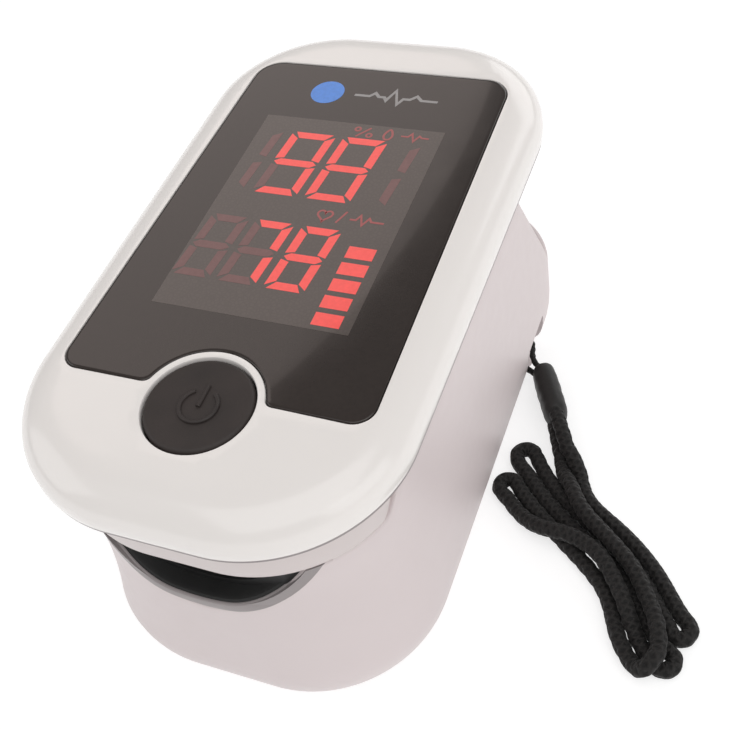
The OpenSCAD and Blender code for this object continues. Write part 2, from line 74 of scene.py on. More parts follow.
COVER = span("top_cover")
SHELL = span("bottom_cover")
WINDOW = span("display_window")
BUTTON = span("power_button")
DOOR = span("battery_door")
LOWER_PAD = span("lower_pad")
UPPER_PAD = span("upper_pad")
HALF_W = COVER[1][0]
FRONT_Y = COVER[0][1]
REAR_Y = COVER[1][1]
TOP_Z = COVER[1][2]
RIM_Z = SHELL[1][2]
SEAM_Z = RIM_Z + 0.2
CORNER_FRONT = 13.4
CORNER_REAR = 12.4
WALL = 1.4
BUTTON_Y = (BUTTON[0][1] + BUTTON[1][1]) / 2
FLANGE = 0.9  # the button's flange, under the cover, past its cap
BUTTON_R = BUTTON[1][0] - FLANGE
RING_R = BUTTON_R + 0.9  # the collar round the button
CEILING_Z = 29.1  # inside of the cover's top
JAW = next(j for j in frame["joints"] if j["name"] == "jaw_hinge")
HINGE = np.array(JAW["pos_m"]) / MM
SCREEN_W = 18.8
SCREEN_L = 26.0
SCREEN_Y = 2.5
SCREEN_AT = (-SCREEN_W / 2, SCREEN_Y - SCREEN_L / 2)
FILTER_Z = WINDOW[1][2] + 0.012  # top of the display's filter, and of the marks above it
BARS_Z = FILTER_Z + 0.01  # top of the bars and symbols on the filter

# Lower casing
LOWER_INSET = 0.3
RAKE = 1.3
FRONT_EASE = 1.5
LIP_Z = 21.2
MOUTH_HALF = 12.0
MOUTH_Z = 14.5
MOUTH_RISE = 7.3
MOUTH_R = (MOUTH_HALF**2 + MOUTH_RISE**2) / (2 * MOUTH_RISE)
V_START_Y = HINGE[1] - 1  # the squeeze gap: where it starts, and its lowest place
V_LOW = (21.5, 9.4)
DOOR_HALF = DOOR[1][0] - 0.8
SCREW_PLACES = [(-13.4, -15), (13.4, -15), (-13.4, 7.6), (13.4, 7.6)]
POST_AT = (14.9, 14.2)


# ---- mesh building


class Skin:
    """Points in millimetres and faces, gathered into one mesh."""

    def __init__(self):
        self.points = []
        self.faces = []

    def ring(self, points):
        start = len(self.points)
        self.points += [tuple(map(float, p)) for p in points]
        return list(range(start, len(self.points)))

    def bridge(self, a, b):
        for i in range(len(a)):
            j = (i + 1) % len(a)
            self.faces.append((a[i], a[j], b[j], b[i]))

    def loft(self, rings):
        """Joins each ring to the next with a wall."""
        made = [self.ring(r) for r in rings]
        for a, b in zip(made, made[1:]):
            self.bridge(a, b)
        return made

    def cap(self, ring):
        self.faces.append(tuple(ring))

    def solid(self, rings):
        """A loft with both ends closed."""
        made = self.loft(rings)
        self.cap(made[0])
        self.cap(made[-1])

    def plate(self, outer, holes, spacing, height):
        """Fills a flat outline with small triangles, lifted to height(x, y)."""
        loops = [np.array(outer, float)[:, :2]] + [np.array(h, float)[:, :2] for h in holes]
        points, edges = [], []
        for loop in loops:
            first = len(points)
            points += [tuple(p) for p in loop]
            edges += [(first + i, first + (i + 1) % len(loop)) for i in range(len(loop))]
        low, high = loops[0].min(0), loops[0].max(0)
        rows = np.arange(low[1] + spacing / 2, high[1], spacing * 0.866)
        grid = np.array([
            (x + (spacing / 2 if k % 2 else 0), y)
            for k, y in enumerate(rows)
            for x in np.arange(low[0] + spacing / 2, high[0], spacing)
        ]).reshape(-1, 2)
        keep = within(grid, loops)
        for loop in loops:
            keep &= distance(grid, loop) > spacing * 0.45
        points += [tuple(p) for p in grid[keep]]
        flat, _, faces, _, _, _ = delaunay_2d_cdt([Vector(p) for p in points], edges, [], 0, 1e-7)
        flat = np.array([tuple(p) for p in flat])
        faces = np.array(faces)
        start = len(self.points)
        self.points += [tuple(p) for p in at_height(flat, height(*flat.T))]
        good = within(flat[faces].mean(1), loops)
        self.faces += [tuple(start + i for i in f) for f in faces[good]]

    def build(self, name, material, sharp):
        """One mesh with its touching points joined and its faces turned outward."""
        mesh = bpy.data.meshes.new(name)
        mesh.from_pydata([(x * MM, y * MM, z * MM) for x, y, z in self.points], [], self.faces)
        bm = bmesh.new()
        bm.from_mesh(mesh)
        bmesh.ops.remove_doubles(bm, verts=bm.verts, dist=3e-6)
        loose = [v for v in bm.verts if not v.link_faces]
        bmesh.ops.delete(bm, geom=loose, context="VERTS")
        bmesh.ops.recalc_face_normals(bm, faces=bm.faces)
        bm.to_mesh(mesh)
        bm.free()
        return finish_mesh(name, mesh, MATERIALS[material], sharp)

    def piece(self, name, body, slot, *nodes, material=None, sharp=40):
        """A built piece in its place. Its material is its slot's, if no other is named."""
        return place(self.build(name, material or slot, sharp), body, slot, *nodes)


def smooth(mesh, material, sharp=38):
    """Smooth shading with sharp edges kept, and a material."""
    mesh.shade_smooth()
    if sharp:
        mesh.set_sharp_from_angle(angle=math.radians(sharp))
    mesh.materials.clear()
    mesh.materials.append(material)


def finish_mesh(name, mesh, material, sharp=38):
    """Puts a mesh in the scene, smoothed."""
    smooth(mesh, material, sharp)
    obj = bpy.data.objects.new(name, mesh)
    bpy.context.scene.collection.objects.link(obj)
    return obj


def place(piece, body, slot, *nodes):
    """Puts a piece on its body, in place of the CAD nodes named. The slot is not used."""
    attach(piece, body)
    if nodes:
        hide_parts(*nodes)
    return piece


def inside(points, loop):
    """Which points lie inside a closed flat loop."""
    x, y = points[:, 0][:, None], points[:, 1][:, None]
    a, b = loop, np.roll(loop, -1, axis=0)
    crosses = (a[:, 1] > y) != (b[:, 1] > y)
    rise = np.where(np.abs(b[:, 1] - a[:, 1]) < 1e-12, 1e-12, b[:, 1] - a[:, 1])
    hit = x < (b[:, 0] - a[:, 0]) * (y - a[:, 1]) / rise + a[:, 0]
    return ((crosses & hit).sum(1) % 2) == 1


def within(points, loops):
    """Which points lie inside the first loop and outside the others."""
    keep = inside(points, loops[0])
    for loop in loops[1:]:
        keep &= ~inside(points, loop)
    return keep


def distance(points, loop):
    """How far each point is from a closed flat loop."""
    a, b = loop, np.roll(loop, -1, axis=0)
    run = b - a
    t = ((points[:, None] - a) * run).sum(2) / np.maximum((run**2).sum(1), 1e-12)
    near = a + np.clip(t, 0, 1)[..., None] * run
    return np.sqrt(((points[:, None] - near) ** 2).sum(2)).min(1)


def arc(cx, cy, r, a0, a1, steps):
    """Points on a round arc, angles in degrees."""
    angles = np.radians(np.linspace(a0, a1, steps + 1))
    return [(cx + r * math.cos(a), cy + r * math.sin(a)) for a in angles]


def full_turn(steps):
    return np.linspace(0, 2 * math.pi, steps, endpoint=False)


def line(a, b, steps):
    """Points between two places, without the last one."""
    return [tuple(np.array(a) + (np.array(b) - np.array(a)) * i / steps) for i in range(steps)]


def joined(*parts):
    """A closed outline of parts, each a list of points and the steps of the line after it."""
    points = []
    for (here, steps), (after, _) in zip(parts, parts[1:] + parts[:1]):
        points += here + line(here[-1], after[0], steps)[1:]
    return np.array(points)


def mirrored(points):
    return [(-x, y) for x, y in reversed(points)]


def casing(inset, ease=0.0):
    """The casing's outline, drawn in by inset, counter-clockwise from the front right.
    Ease rounds its front corners more."""
    hw, yf, yr = HALF_W - inset, FRONT_Y + inset, REAR_Y - inset
    rf, rr = CORNER_FRONT - inset + ease, CORNER_REAR - inset
    front = arc(hw - rf, yf + rf, rf, -90, 0, 34)
    rear = arc(hw - rr, yr - rr, rr, 0, 90, 32)
    return joined((front, 72), (rear, 16), (mirrored(rear), 72), (mirrored(front), 14))


def at_height(points, z):
    return np.column_stack([points, np.broadcast_to(z, len(points))])


def window_outline(grow):
    """The display window's outline, with its round notch for the button."""
    wf, wr = WINDOW[1][0] + grow, WINDOW[1][0] - 0.7 + grow
    yf, yr = WINDOW[0][1] - grow, WINDOW[1][1] + grow
    rf, rr = 1.8 + grow, 2.6 + grow
    notch = RING_R - grow
    half = math.sqrt(notch**2 - (yf - BUTTON_Y) ** 2)
    edge = math.degrees(math.atan2(yf - BUTTON_Y, half))
    ease = 7.0
    corner = np.array((half, yf))
    on_edge = corner + (0.8, 0)
    bottom = arc(0, BUTTON_Y, notch, 180 - edge - ease, edge + ease, 36)
    on_arc = np.array(bottom[-1])
    turn = [
        tuple((1 - t) ** 2 * on_arc + 2 * t * (1 - t) * corner + t * t * on_edge)
        for t in np.linspace(0, 1, 6)
    ]
    front = arc(wf - rf, yf + rf, rf, -90, 0, 10)
    rear = arc(wr - rr, yr - rr, rr, 0, 90, 12)
    return joined((turn, 8), (front, 40), (rear, 24), (mirrored(rear), 40),
                  (mirrored(front), 8), (mirrored(turn), 1), (bottom[1:-1], 1))


def rectangle(x0, y0, x1, y1, step):
    """A closed rectangle with points along its sides, about step apart."""
    nx, ny = max(1, round((x1 - x0) / step)), max(1, round((y1 - y0) / step))
    return joined(([(x0, y0)], nx), ([(x1, y0)], ny), ([(x1, y1)], nx), ([(x0, y1)], ny))


def circle(cx, cy, r, steps):
    return np.array(arc(cx, cy, r, 0, 360, steps)[:-1])


def rounded(x, radius):
    """Drop of a rounded edge at distance x from it, for an edge of that radius."""
    t = np.clip(1 - np.asarray(x, float) / radius, 0, 1)
    return radius * (1 - np.sqrt(1 - t * t))


def sweep(skin, path, radius, sides):
    """A round wire along a path."""
    path = np.array(path, float)
    angles = full_turn(sides)
    skin.solid([
        p + radius * (np.cos(angles)[:, None] * side + np.sin(angles)[:, None] * up)
        for p, side, up in zip(path, *frames(path))
    ])


def frames(path):
    """A side and an up direction at each point of a path, with no sudden turn."""
    tangent = np.gradient(path, axis=0)
    tangent /= np.linalg.norm(tangent, axis=1)[:, None]
    start = np.cross((0, 0, 1), tangent[0])
    if np.linalg.norm(start) < 1e-3:
        start = np.cross((1, 0, 0), tangent[0])
    sides = [start / np.linalg.norm(start)]
    for t in tangent[1:]:
        s = sides[-1] - t * np.dot(sides[-1], t)
        sides.append(s / np.linalg.norm(s))
    sides = np.array(sides)
    return sides, np.cross(tangent, sides)


def smooth_path(points, step):
    """A Catmull-Rom curve through the points, with places about step apart."""
    p = np.array(points, float)
    p = np.vstack([2 * p[0] - p[1], p, 2 * p[-1] - p[-2]])
    fine = []
    for i in range(1, len(p) - 2):
        a, b, c, d = p[i - 1 : i + 3]
        for t in np.linspace(0, 1, 12, endpoint=False):
            fine.append(
                0.5 * (2 * b + (c - a) * t + (2 * a - 5 * b + 4 * c - d) * t**2
                       + (3 * b - a - 3 * c + d) * t**3)
            )
    fine.append(p[-2])
    return evenly(np.array(fine), step)


def distances(path):
    """How far along a path each of its points lies."""
    return np.concatenate([[0], np.cumsum(np.linalg.norm(np.diff(path, axis=0), axis=1))])


def evenly(path, step):
    """The same line with points about step apart."""
    along = distances(path)
    at = np.linspace(0, along[-1], max(2, round(along[-1] / step) + 1))
    return np.column_stack([np.interp(at, along, path[:, k]) for k in range(3)])


# ---- materials

MATERIALS = {}


class Nodes:
    """A new material's node tree, with short ways to add nodes."""

    def __init__(self, name):
        self.material = MATERIALS[name] = bpy.data.materials.new(name)
        self.material.use_nodes = True
        self.tree = self.material.node_tree
        self.shader = self.tree.nodes["Principled BSDF"]
        coord = self.add("ShaderNodeTexCoord")
        self.object, self.uv = coord.outputs["Object"], coord.outputs["UV"]

    def add(self, kind, **settings):
        """A new node. Each setting is an input's value, the output that feeds it, or an option."""
        node = self.tree.nodes.new(kind)
        for key, value in settings.items():
            if isinstance(value, bpy.types.NodeSocket):
                self.link(value, node.inputs[key])
            elif key in node.inputs:
                node.inputs[key].default_value = value
            else:
                setattr(node, key, value)
        return node

    def link(self, a, b):
        self.tree.links.new(a, b)

    def compute(self, operation, *values):
        node = self.add("ShaderNodeMath", operation=operation)
        for socket, value in zip(node.inputs, values):
            if isinstance(value, float):
                socket.default_value = value
            else:
                self.link(value, socket)
        return node.outputs[0]

    def noise(self, scale, detail=2.0, rough=0.5):
        return self.add(
            "ShaderNodeTexNoise", Vector=self.object, Scale=scale, Detail=detail, Roughness=rough
        ).outputs["Fac"]

    def between(self, value, low, high, from_low=0.3, from_high=0.7):
        """Spreads a value over low to high; noise seldom leaves 0.3 to 0.7."""
        ends = {"From Min": from_low, "From Max": from_high, "To Min": low, "To Max": high}
        return self.add("ShaderNodeMapRange", Value=value, **ends).outputs["Result"]

    def tint(self, value, a, b, from_low=0.3, from_high=0.7):
        """Takes the colour from a to b as the value rises."""
        factor = self.between(value, 0, 1, from_low, from_high)
        node = self.add("ShaderNodeMix", data_type="RGBA", Factor=factor)
        mix = [s for s in node.inputs if s.type == "RGBA"]
        mix[0].default_value, mix[1].default_value = (*a, 1), (*b, 1)
        colour = next(s for s in node.outputs if s.type == "RGBA")
        self.link(colour, self.shader.inputs["Base Color"])

    def gloss(self, value, low, high):
        """Takes the roughness from low to high as the value rises."""
        self.link(self.between(value, low, high), self.shader.inputs["Roughness"])

    def bump(self, height, depth):
        """Adds a bump of that depth, in metres, to those already there."""
        node = self.add("ShaderNodeBump", Strength=1.0, Distance=depth, Height=height)
        if self.shader.inputs["Normal"].is_linked:
            before = self.shader.inputs["Normal"].links[0].from_socket
            self.link(before, node.inputs["Normal"])
        self.link(node.outputs["Normal"], self.shader.inputs["Normal"])

    def set(self, **values):
        for key, value in values.items():
            self.shader.inputs[key.replace("_", " ")].default_value = value


def shade(colour, share):
    return tuple(min(1.0, c * share) for c in colour)


def plastic(name, colour, rough, vary=0.03, grain=6000.0, depth=1.5e-6, coat=0.0, spread=0.04):
    """Moulded plastic: faint clouding of the colour, uneven gloss and a fine grain."""
    n = Nodes(name)
    n.set(Coat_Weight=coat, Coat_Roughness=0.08, IOR=1.5)
    n.tint(n.noise(90.0, 3.0), shade(colour, 1 - vary), shade(colour, 1 + vary))
    n.gloss(n.noise(700.0, 3.0), rough - spread, rough + spread)
    n.bump(n.noise(grain, 2.0), depth)
    n.bump(n.noise(260.0, 1.0), depth)


def glossy(name, colour, glow=None, strength=0.0):
    """Polished plastic behind a clear hard coat, with faint wipe marks in its gloss."""
    n = Nodes(name)
    n.set(Coat_Weight=0.3, Coat_Roughness=0.03, IOR=1.42)
    n.tint(n.noise(2600.0, 2.0), shade(colour, 0.93), shade(colour, 1.07))
    n.gloss(n.noise(160.0, 4.0, 0.6), 0.07, 0.12)
    if glow:
        n.set(Emission_Color=(*glow, 1), Emission_Strength=strength)


def rubber(name, colour, rough, grain=9000.0, depth=1.2e-5):
    """Matt moulded rubber with a fine leathery grain."""
    n = Nodes(name)
    n.set(IOR=1.45)
    cloud = n.noise(300.0, 4.0)
    n.tint(cloud, shade(colour, 0.8), shade(colour, 1.25))
    n.gloss(cloud, rough - 0.07, rough + 0.07)
    n.bump(n.noise(grain, 3.0), depth)


def metal(name, colour):
    """Plated metal with fine drawing marks."""
    n = Nodes(name)
    n.set(Metallic=1.0)
    stretch = n.add("ShaderNodeMapping", Vector=n.object, Scale=(40, 4000, 4000)).outputs[0]
    marks = n.add("ShaderNodeTexNoise", Vector=stretch, Scale=1.0, Detail=3.0).outputs["Fac"]
    n.tint(marks, shade(colour, 0.88), shade(colour, 1.08))
    n.gloss(marks, 0.20, 0.40)
    n.bump(marks, 3e-6)


def woven(name, colour, turns, pitch, depth):
    """Braided or twisted yarn. U runs round the cord and V along it, in millimetres."""
    n = Nodes(name)
    n.set(IOR=1.4, Sheen_Weight=0.06, Sheen_Roughness=0.4)
    split = n.add("ShaderNodeSeparateXYZ", Vector=n.uv)
    waves = []
    for way in (-1, 1):
        along = n.compute("MULTIPLY", split.outputs["Y"], 2 * math.pi / pitch)
        slant = n.compute("MULTIPLY_ADD", split.outputs["X"], turns * way * 2 * math.pi, along)
        waves.append(n.compute("SINE", slant))
    top = n.compute("MAXIMUM", *waves)
    fuzz = n.noise(9000.0, 4.0)
    # Painted shade: the colour goes darker in the grooves between the yarns and lighter on their crests.
    n.tint(top, shade(colour, 0.35), shade(colour, 1.5), -0.4, 1.0)
    n.gloss(fuzz, 0.62, 0.85)
    n.bump(top, depth)
    n.bump(fuzz, depth * 0.4)


def screen_glass(name):
    """The dark filter over the numeral display, with the fine pitch of its honeycomb."""
    n = Nodes(name)
    n.set(Coat_Weight=0.3, Coat_Roughness=0.03, IOR=1.42)
    cells = n.add(
        "ShaderNodeTexVoronoi", feature="DISTANCE_TO_EDGE", Vector=n.object, Scale=2600.0
    )
    n.tint(cells.outputs["Distance"], (0.070, 0.056, 0.050), (0.080, 0.064, 0.057), 0.0, 0.25)
    n.gloss(n.noise(160.0, 4.0, 0.6), 0.08, 0.14)


def board(name):
    """Green solder mask over faint copper tracks."""
    n = Nodes(name)
    n.set(Coat_Weight=0.3)
    brick = {"Vector": n.object, "Scale": 420.0, "Mortar Size": 0.06}
    tracks = n.add("ShaderNodeTexBrick", **brick).outputs["Fac"]
    n.tint(tracks, (0.010, 0.105, 0.045), (0.025, 0.200, 0.085), 0, 1)
    n.gloss(n.noise(900.0), 0.3, 0.45)
    n.bump(tracks, 1e-5)


def clear(name):
    """Clear moulded window over the emitter and the detector."""
    n = Nodes(name)
    n.set(Transmission_Weight=0.85, IOR=1.5)
    n.tint(n.noise(500.0), (0.80, 0.84, 0.88), (0.90, 0.93, 0.96))
    n.gloss(n.noise(900.0), 0.05, 0.12)


def cell_wrap(name):
    """Printed cell wrap: plain grey with a teal band and thin rings, in steps along the cell."""
    grey, teal = (0.62, 0.63, 0.64, 1), (0.05, 0.23, 0.25, 1)
    n = Nodes(name)
    n.set(Metallic=0.35, Coat_Weight=0.5)
    split = n.add("ShaderNodeSeparateXYZ", Vector=n.object)
    ramp = n.add("ShaderNodeValToRGB")
    ramp.color_ramp.interpolation = "CONSTANT"
    stops = ramp.color_ramp.elements
    stops[0].color = teal
    stops[1].position, stops[1].color = 0.34, grey
    for place_along, colour in ((0.30, grey), (0.32, teal)):
        stops.new(place_along).color = colour
    n.link(n.between(split.outputs["Y"], 0, 1, -0.0263, 0.0182), ramp.inputs["Fac"])
    n.link(ramp.outputs["Color"], n.shader.inputs["Base Color"])
    n.gloss(n.noise(800.0), 0.25, 0.38)


def make_materials():
    plastic("cover_white", (0.80, 0.765, 0.74), 0.24, 0.006, depth=4e-7, coat=0.4, spread=0.03)
    plastic("tray_white", (0.62, 0.555, 0.545), 0.36, 0.015)
    plastic("shell_pale", (0.655, 0.580, 0.580), 0.42, 0.012)
    plastic("tray_grey", (0.27, 0.24, 0.24), 0.42)
    rubber("silicone_black", (0.010, 0.010, 0.010), 0.55)
    glossy("window_black", (0.024, 0.017, 0.0143))
    screen_glass("screen_grey")
    plastic("display_block", (0.03, 0.028, 0.028), 0.5)
    glossy("segment_lit", (0.62, 0.06, 0.055), glow=(0.95, 0.09, 0.075), strength=0.32)
    glossy("segment_dim", (0.150, 0.066, 0.064))
    glossy("label_dim", (0.22, 0.055, 0.055), glow=(0.8, 0.1, 0.1), strength=0.12)
    glossy("mark_blue", (0.055, 0.22, 0.66))
    glossy("mark_grey", (0.26, 0.25, 0.25))
    rubber("button_rubber", (0.027, 0.020, 0.018), 0.55, 7000.0, 8e-6)
    plastic("plunger_red", (0.40, 0.03, 0.02), 0.45)
    board("circuit_board")
    plastic("chip_black", (0.02, 0.02, 0.022), 0.55, 0.1, 4000.0, 1e-5)
    plastic("emitter_body", (0.70, 0.71, 0.72), 0.2)
    clear("clear_window")
    cell_wrap("cell_wrap")
    metal("spring_steel", (0.62, 0.63, 0.64))
    woven("string_black", (0.010, 0.0095, 0.009), 1.0, 0.5, 3e-5)
    rubber("sleeve_black", (0.0085, 0.0075, 0.007), 0.5, 3000.0, 2e-5)
    woven("cord_black", (0.0095, 0.0085, 0.008), 4.0, 0.75, 6e-5)


def dress():
    """Gives each CAD node that stays in view the material of its own slot."""
    slots = {s["node"]: s["material_slot"] for s in frame["record"]["subparts"]}
    for name, node in frame["nodes"].items():
        node.data.materials.clear()
        node.data.materials.append(MATERIALS[slots[name]])


# ---- camera and light

CAMERA_AT = Vector((42.3, -62.2, 97.8)) * MM
CAMERA_FORWARD = Vector((-0.3442, 0.5555, -0.7569)).normalized()
CAMERA_UP = Vector((-0.1712, 0.7555, 0.6324))
CAMERA_LENS = 54.6


def make_camera():
    data = bpy.data.cameras.new("camera")
    data.sensor_width = 36
    data.lens = CAMERA_LENS
    data.clip_start = 0.005
    data.clip_end = 20
    camera = bpy.data.objects.new("camera", data)
    bpy.context.scene.collection.objects.link(camera)
    back = -CAMERA_FORWARD
    right = CAMERA_UP.cross(back).normalized()
    up = back.cross(right)
    turn = Matrix((right, up, back)).transposed().to_4x4()
    camera.matrix_world = Matrix.Translation(CAMERA_AT) @ turn
    bpy.context.scene.camera = camera


def softbox(name, at, aim, size, power, shape="RECTANGLE"):
    """A soft studio lamp at a place, turned towards a point."""
    data = bpy.data.lights.new(name, "AREA")
    data.shape = shape
    data.size, data.size_y = size
    data.energy = power
    lamp = bpy.data.objects.new(name, data)
    bpy.context.scene.collection.objects.link(lamp)
    lamp.location = at
    lamp.rotation_euler = (Vector(aim) - Vector(at)).to_track_quat("-Z", "Y").to_euler()
    return lamp


def make_light():
    world = bpy.data.worlds.new("studio")
    bpy.context.scene.world = world
    world.use_nodes = True
    background = world.node_tree.nodes["Background"]
    background.inputs["Color"].default_value = (1.0, 0.99, 0.985, 1)
    background.inputs["Strength"].default_value = 0.36
    softbox("overhead", (0.20, -0.32, 1.00), (0, 0, 0.02), (1.3, 1.2), 5.7)
    softbox("left", (-0.85, -0.25, 0.50), (0, 0, 0.02), (0.7, 0.7), 1.8)
    softbox("right", (0.85, -0.20, 0.42), (0, 0, 0.02), (0.8, 0.6), 2.0)
    softbox("rear", (0.25, 0.95, 0.40), (0, 0, 0.03), (0.9, 0.5), 2.2)
    # The window mirrors this one as a pale shape. It points straight down.
    sheen = softbox("sheen", (-0.67, 0.97, 0.85), (-0.67, 0.97, 0), (0.62, 1.24), 2.0, "ELLIPSE")
    sheen.rotation_euler = (0, 0, 0)
    sheen.data.color = (1.0, 0.87, 0.82)
    bpy.context.scene.view_settings.view_transform = "Standard"


def make_floor():
    size = 1.5
    mesh = bpy.data.meshes.new("floor")
    corners = [(-size, -size, 0), (size, -size, 0), (size, size, 0), (-size, size, 0)]
    mesh.from_pydata(corners, [], [(0, 1, 2, 3)])
    n = Nodes("pale_floor")
    n.tint(n.noise(3.0), (0.44, 0.44, 0.44), (0.46, 0.46, 0.46))
    n.set(Roughness=0.9, Emission_Color=(1.0, 1.0, 1.0, 1), Emission_Strength=0.66)
    finish_mesh("floor", mesh, n.material)


# ---- lanyard

CORD_D = 1.6
STRING_D = 0.7
HELD = 7  # points at each end of the cord that the sleeve holds
STRING_ROUTE = [
    (22.0, 6.0, 2.2), (20.6, 8.2, 2.2), (19.3, 10.3, 2.1), (18.3, 11.8, 2.0), (17.3, 12.9, 1.9),
    (16.8, 13.9, 1.9), (16.4, 15.3, 1.9), (15.4, 16.2, 1.9), (14.2, 15.9, 1.9), (13.1, 15.1, 1.9),
    (13.0, 13.8, 1.9), (13.7, 12.7, 1.9), (14.9, 12.3, 1.9), (16.4, 12.0, 1.7), (18.0, 11.3, 1.5),
    (19.1, 9.9, 1.4), (20.4, 7.6, 1.4), (21.6, 5.3, 1.4),
]
SLEEVE = (np.array((18.5, 11.8)), np.array((21.8, 5.6)))
LEAD_OUT = [
    (21.4, 6.2, 3.0), (22.0, 5.1, 3.0), (22.9, 3.5, 2.8), (24.1, 1.5, 2.1), (25.6, -0.8, 1.2),
]
LEAD_BACK = [
    (21.2, 6.1, 1.0), (21.7, 5.0, 0.9), (22.3, 3.6, 0.9), (23.1, 1.8, 1.1), (24.3, -0.5, 2.0),
]

# The hank lies along u, with v across it. Its strands run between stations along u.
BEND_R = 0.98  # the tightest bend that the cord takes
HANK_MIDDLE = np.array((28.6, -8.4))
HANK_U = np.array((0.746, -0.666))
HANK_V = np.array((0.666, 0.746))
STATIONS = (-9.0, -4.5, 0.0, 4.5, 9.0)
# Runs of the cord in its order, each as (across, height) at the stations; every second one
# comes back
RUNS = (
    (None, (3.0, 0.8), (3.8, 0.8), (3.9, 0.8), (2.9, 0.8)),
    ((1.2, 0.8), (1.4, 0.8), (2.2, 0.8), (2.3, 0.8), (1.6, 0.8)),
    ((-0.4, 0.8), (-0.2, 0.8), (0.6, 0.8), (0.7, 0.8), (0.0, 0.8)),
    ((-3.1, 0.8), (-2.6, 0.9), (0.2, 2.3), (-0.1, 2.2), (-1.6, 1.6)),
    ((-1.8, 1.6), (-1.6, 0.9), (-1.2, 0.8), (-1.2, 0.8), (-2.9, 0.8)),
    (None, (1.5, 2.3), (1.9, 2.3), (2.0, 2.2), (0.6, 2.3)),
)
# Loops between the runs: reach past the last station, place of the tip across, height
LOOPS = (
    (3.0, 1.5, 0.9), (5.2, 1.4, 0.9), (4.7, -1.0, 0.9), (3.0, -2.3, 0.9), (3.9, -3.0, 1.7),
)


def hank_guide():
    """The cord's rough way through the hank, from one lead to the other."""
    guide = []
    last = len(STATIONS) - 1
    for k, run in enumerate(RUNS):
        order = range(last + 1) if k % 2 == 0 else range(last, -1, -1)
        guide += [(STATIONS[s], *run[s]) for s in order if run[s]]
        if k < len(LOOPS):
            reach, tip, height = LOOPS[k]
            end, way = (last, 1) if k % 2 == 0 else (0, -1)
            (v0, z0), (v1, z1) = run[end], RUNS[k + 1][end]
            half = math.copysign(max(abs(v0 - v1) / 2, 1.15), v0 - v1)
            for angle in (25, 45, 67, 90, 113, 135, 155):
                c, s = math.cos(math.radians(angle)), math.sin(math.radians(angle))
                middle = (v0 + v1) / 2 + (tip - (v0 + v1) / 2) * s
                side = z0 if angle < 90 else z1
                straight = (reach - abs(half)) * min(1, s / 0.6) + abs(half) * s
                z = side + (height - side) * s
                guide.append((STATIONS[end] + way * straight, middle + half * c, z))
    return [(*(HANK_MIDDLE + u * HANK_U + v * HANK_V), z) for u, v, z in guide]


def settle(path, fixed, rounds=500):
    """Lets a cord lie: parts that meet push each other away, and it rests on the table."""
    rest = np.linalg.norm(np.diff(path, axis=0), axis=1)
    first = path.copy()
    spacing = rest.mean()
    i, j = np.triu_indices(len(path), max(3, int(2.6 * CORD_D / spacing)))
    chords = [(k, 2 * BEND_R * math.sin(k * spacing / (2 * BEND_R))) for k in (2, 3)]
    for _ in range(rounds):
        move = np.zeros_like(path)
        gap = path[j] - path[i]
        apart = np.linalg.norm(gap, axis=1)
        hit = apart < CORD_D * 1.02
        push = gap[hit] / np.maximum(apart[hit], 1e-6)[:, None]
        push *= (CORD_D * 1.02 - apart[hit])[:, None] * 0.3
        np.add.at(move, i[hit], -push)
        np.add.at(move, j[hit], push)
        for k, least in chords:
            across = path[k:] - path[:-k]
            size = np.linalg.norm(across, axis=1)[:, None]
            across *= np.maximum(least - size, 0) / size * 0.4
            move[k:] += across
            move[:-k] -= across
        bend = path[:-2] - 2 * path[1:-1] + path[2:]
        move[1:-1] += 0.12 * bend
        move[:, 2] -= 0.012
        move[:, :2] += 0.05 * (first[:, :2] - path[:, :2])
        path = path + np.clip(move, -0.12, 0.12)
        path[:, 2] = np.maximum(path[:, 2], CORD_D / 2)
        for _ in range(3):
            step = np.diff(path, axis=0)
            size = np.linalg.norm(step, axis=1)
            fix = step * (0.5 * (size - rest) / size)[:, None]
            path[:-1] += fix
            path[1:] -= fix
            path[fixed] = first[fixed]
    path[:, 2] = np.maximum(path[:, 2], CORD_D / 2)
    return path


def braid_tube(name, path, radius, material, sides, lumps, pitch, depth):
    """A cord whose yarns stand out a little, with U round it and V along it."""
    along = distances(path)
    side, up = frames(path)
    angles = full_turn(sides)
    one = np.sin(lumps * angles[None] + 2 * math.pi * along[:, None] / pitch)
    two = np.sin(-lumps * angles[None] + 2 * math.pi * along[:, None] / pitch)
    lift = radius * (1 - depth) + radius * depth * np.maximum(one, two)
    rings = (
        path[:, None]
        + (lift * np.cos(angles))[..., None] * side[:, None]
        + (lift * np.sin(angles))[..., None] * up[:, None]
    )
    rings[..., 2] = np.maximum(rings[..., 2], 0.0)
    skin = Skin()
    made = skin.loft(rings)
    skin.cap(made[0][::-1])
    skin.cap(made[-1])
    mesh = bpy.data.meshes.new(name)
    mesh.from_pydata([tuple(np.array(p) * MM) for p in skin.points], [], skin.faces)
    uv = mesh.uv_layers.new(name="along")
    for face in mesh.polygons:
        for loop, vertex in zip(face.loop_indices, face.vertices):
            ring, k = divmod(vertex, sides)
            wraps = k == 0 and any(v % sides == sides - 1 for v in face.vertices)
            uv.data[loop].uv = ((sides if wraps else k) / sides, along[ring])
    return finish_mesh(name, mesh, MATERIALS[material], None)


def make_lanyard():
    string_path = smooth_path(STRING_ROUTE, 0.15)
    string = braid_tube(
        "string_loop", string_path, STRING_D / 2, "string_black", 10, 2, 0.9, 0.12
    )
    place(string, LOWER, "string_black", "lanyard_string")

    guide = smooth_path(LEAD_OUT + hank_guide() + LEAD_BACK[::-1], 0.8)
    fixed = np.zeros(len(guide), bool)
    fixed[:HELD] = fixed[-HELD:] = True
    cord_path = smooth_path(settle(guide, fixed), 0.16)
    cord = braid_tube("braided_cord", cord_path, CORD_D / 2, "cord_black", 24, 4, 1.5, 0.07)
    place(cord, LOWER, "cord_black", "lanyard_leads", "lanyard_hank")

    sleeve = make_sleeve()


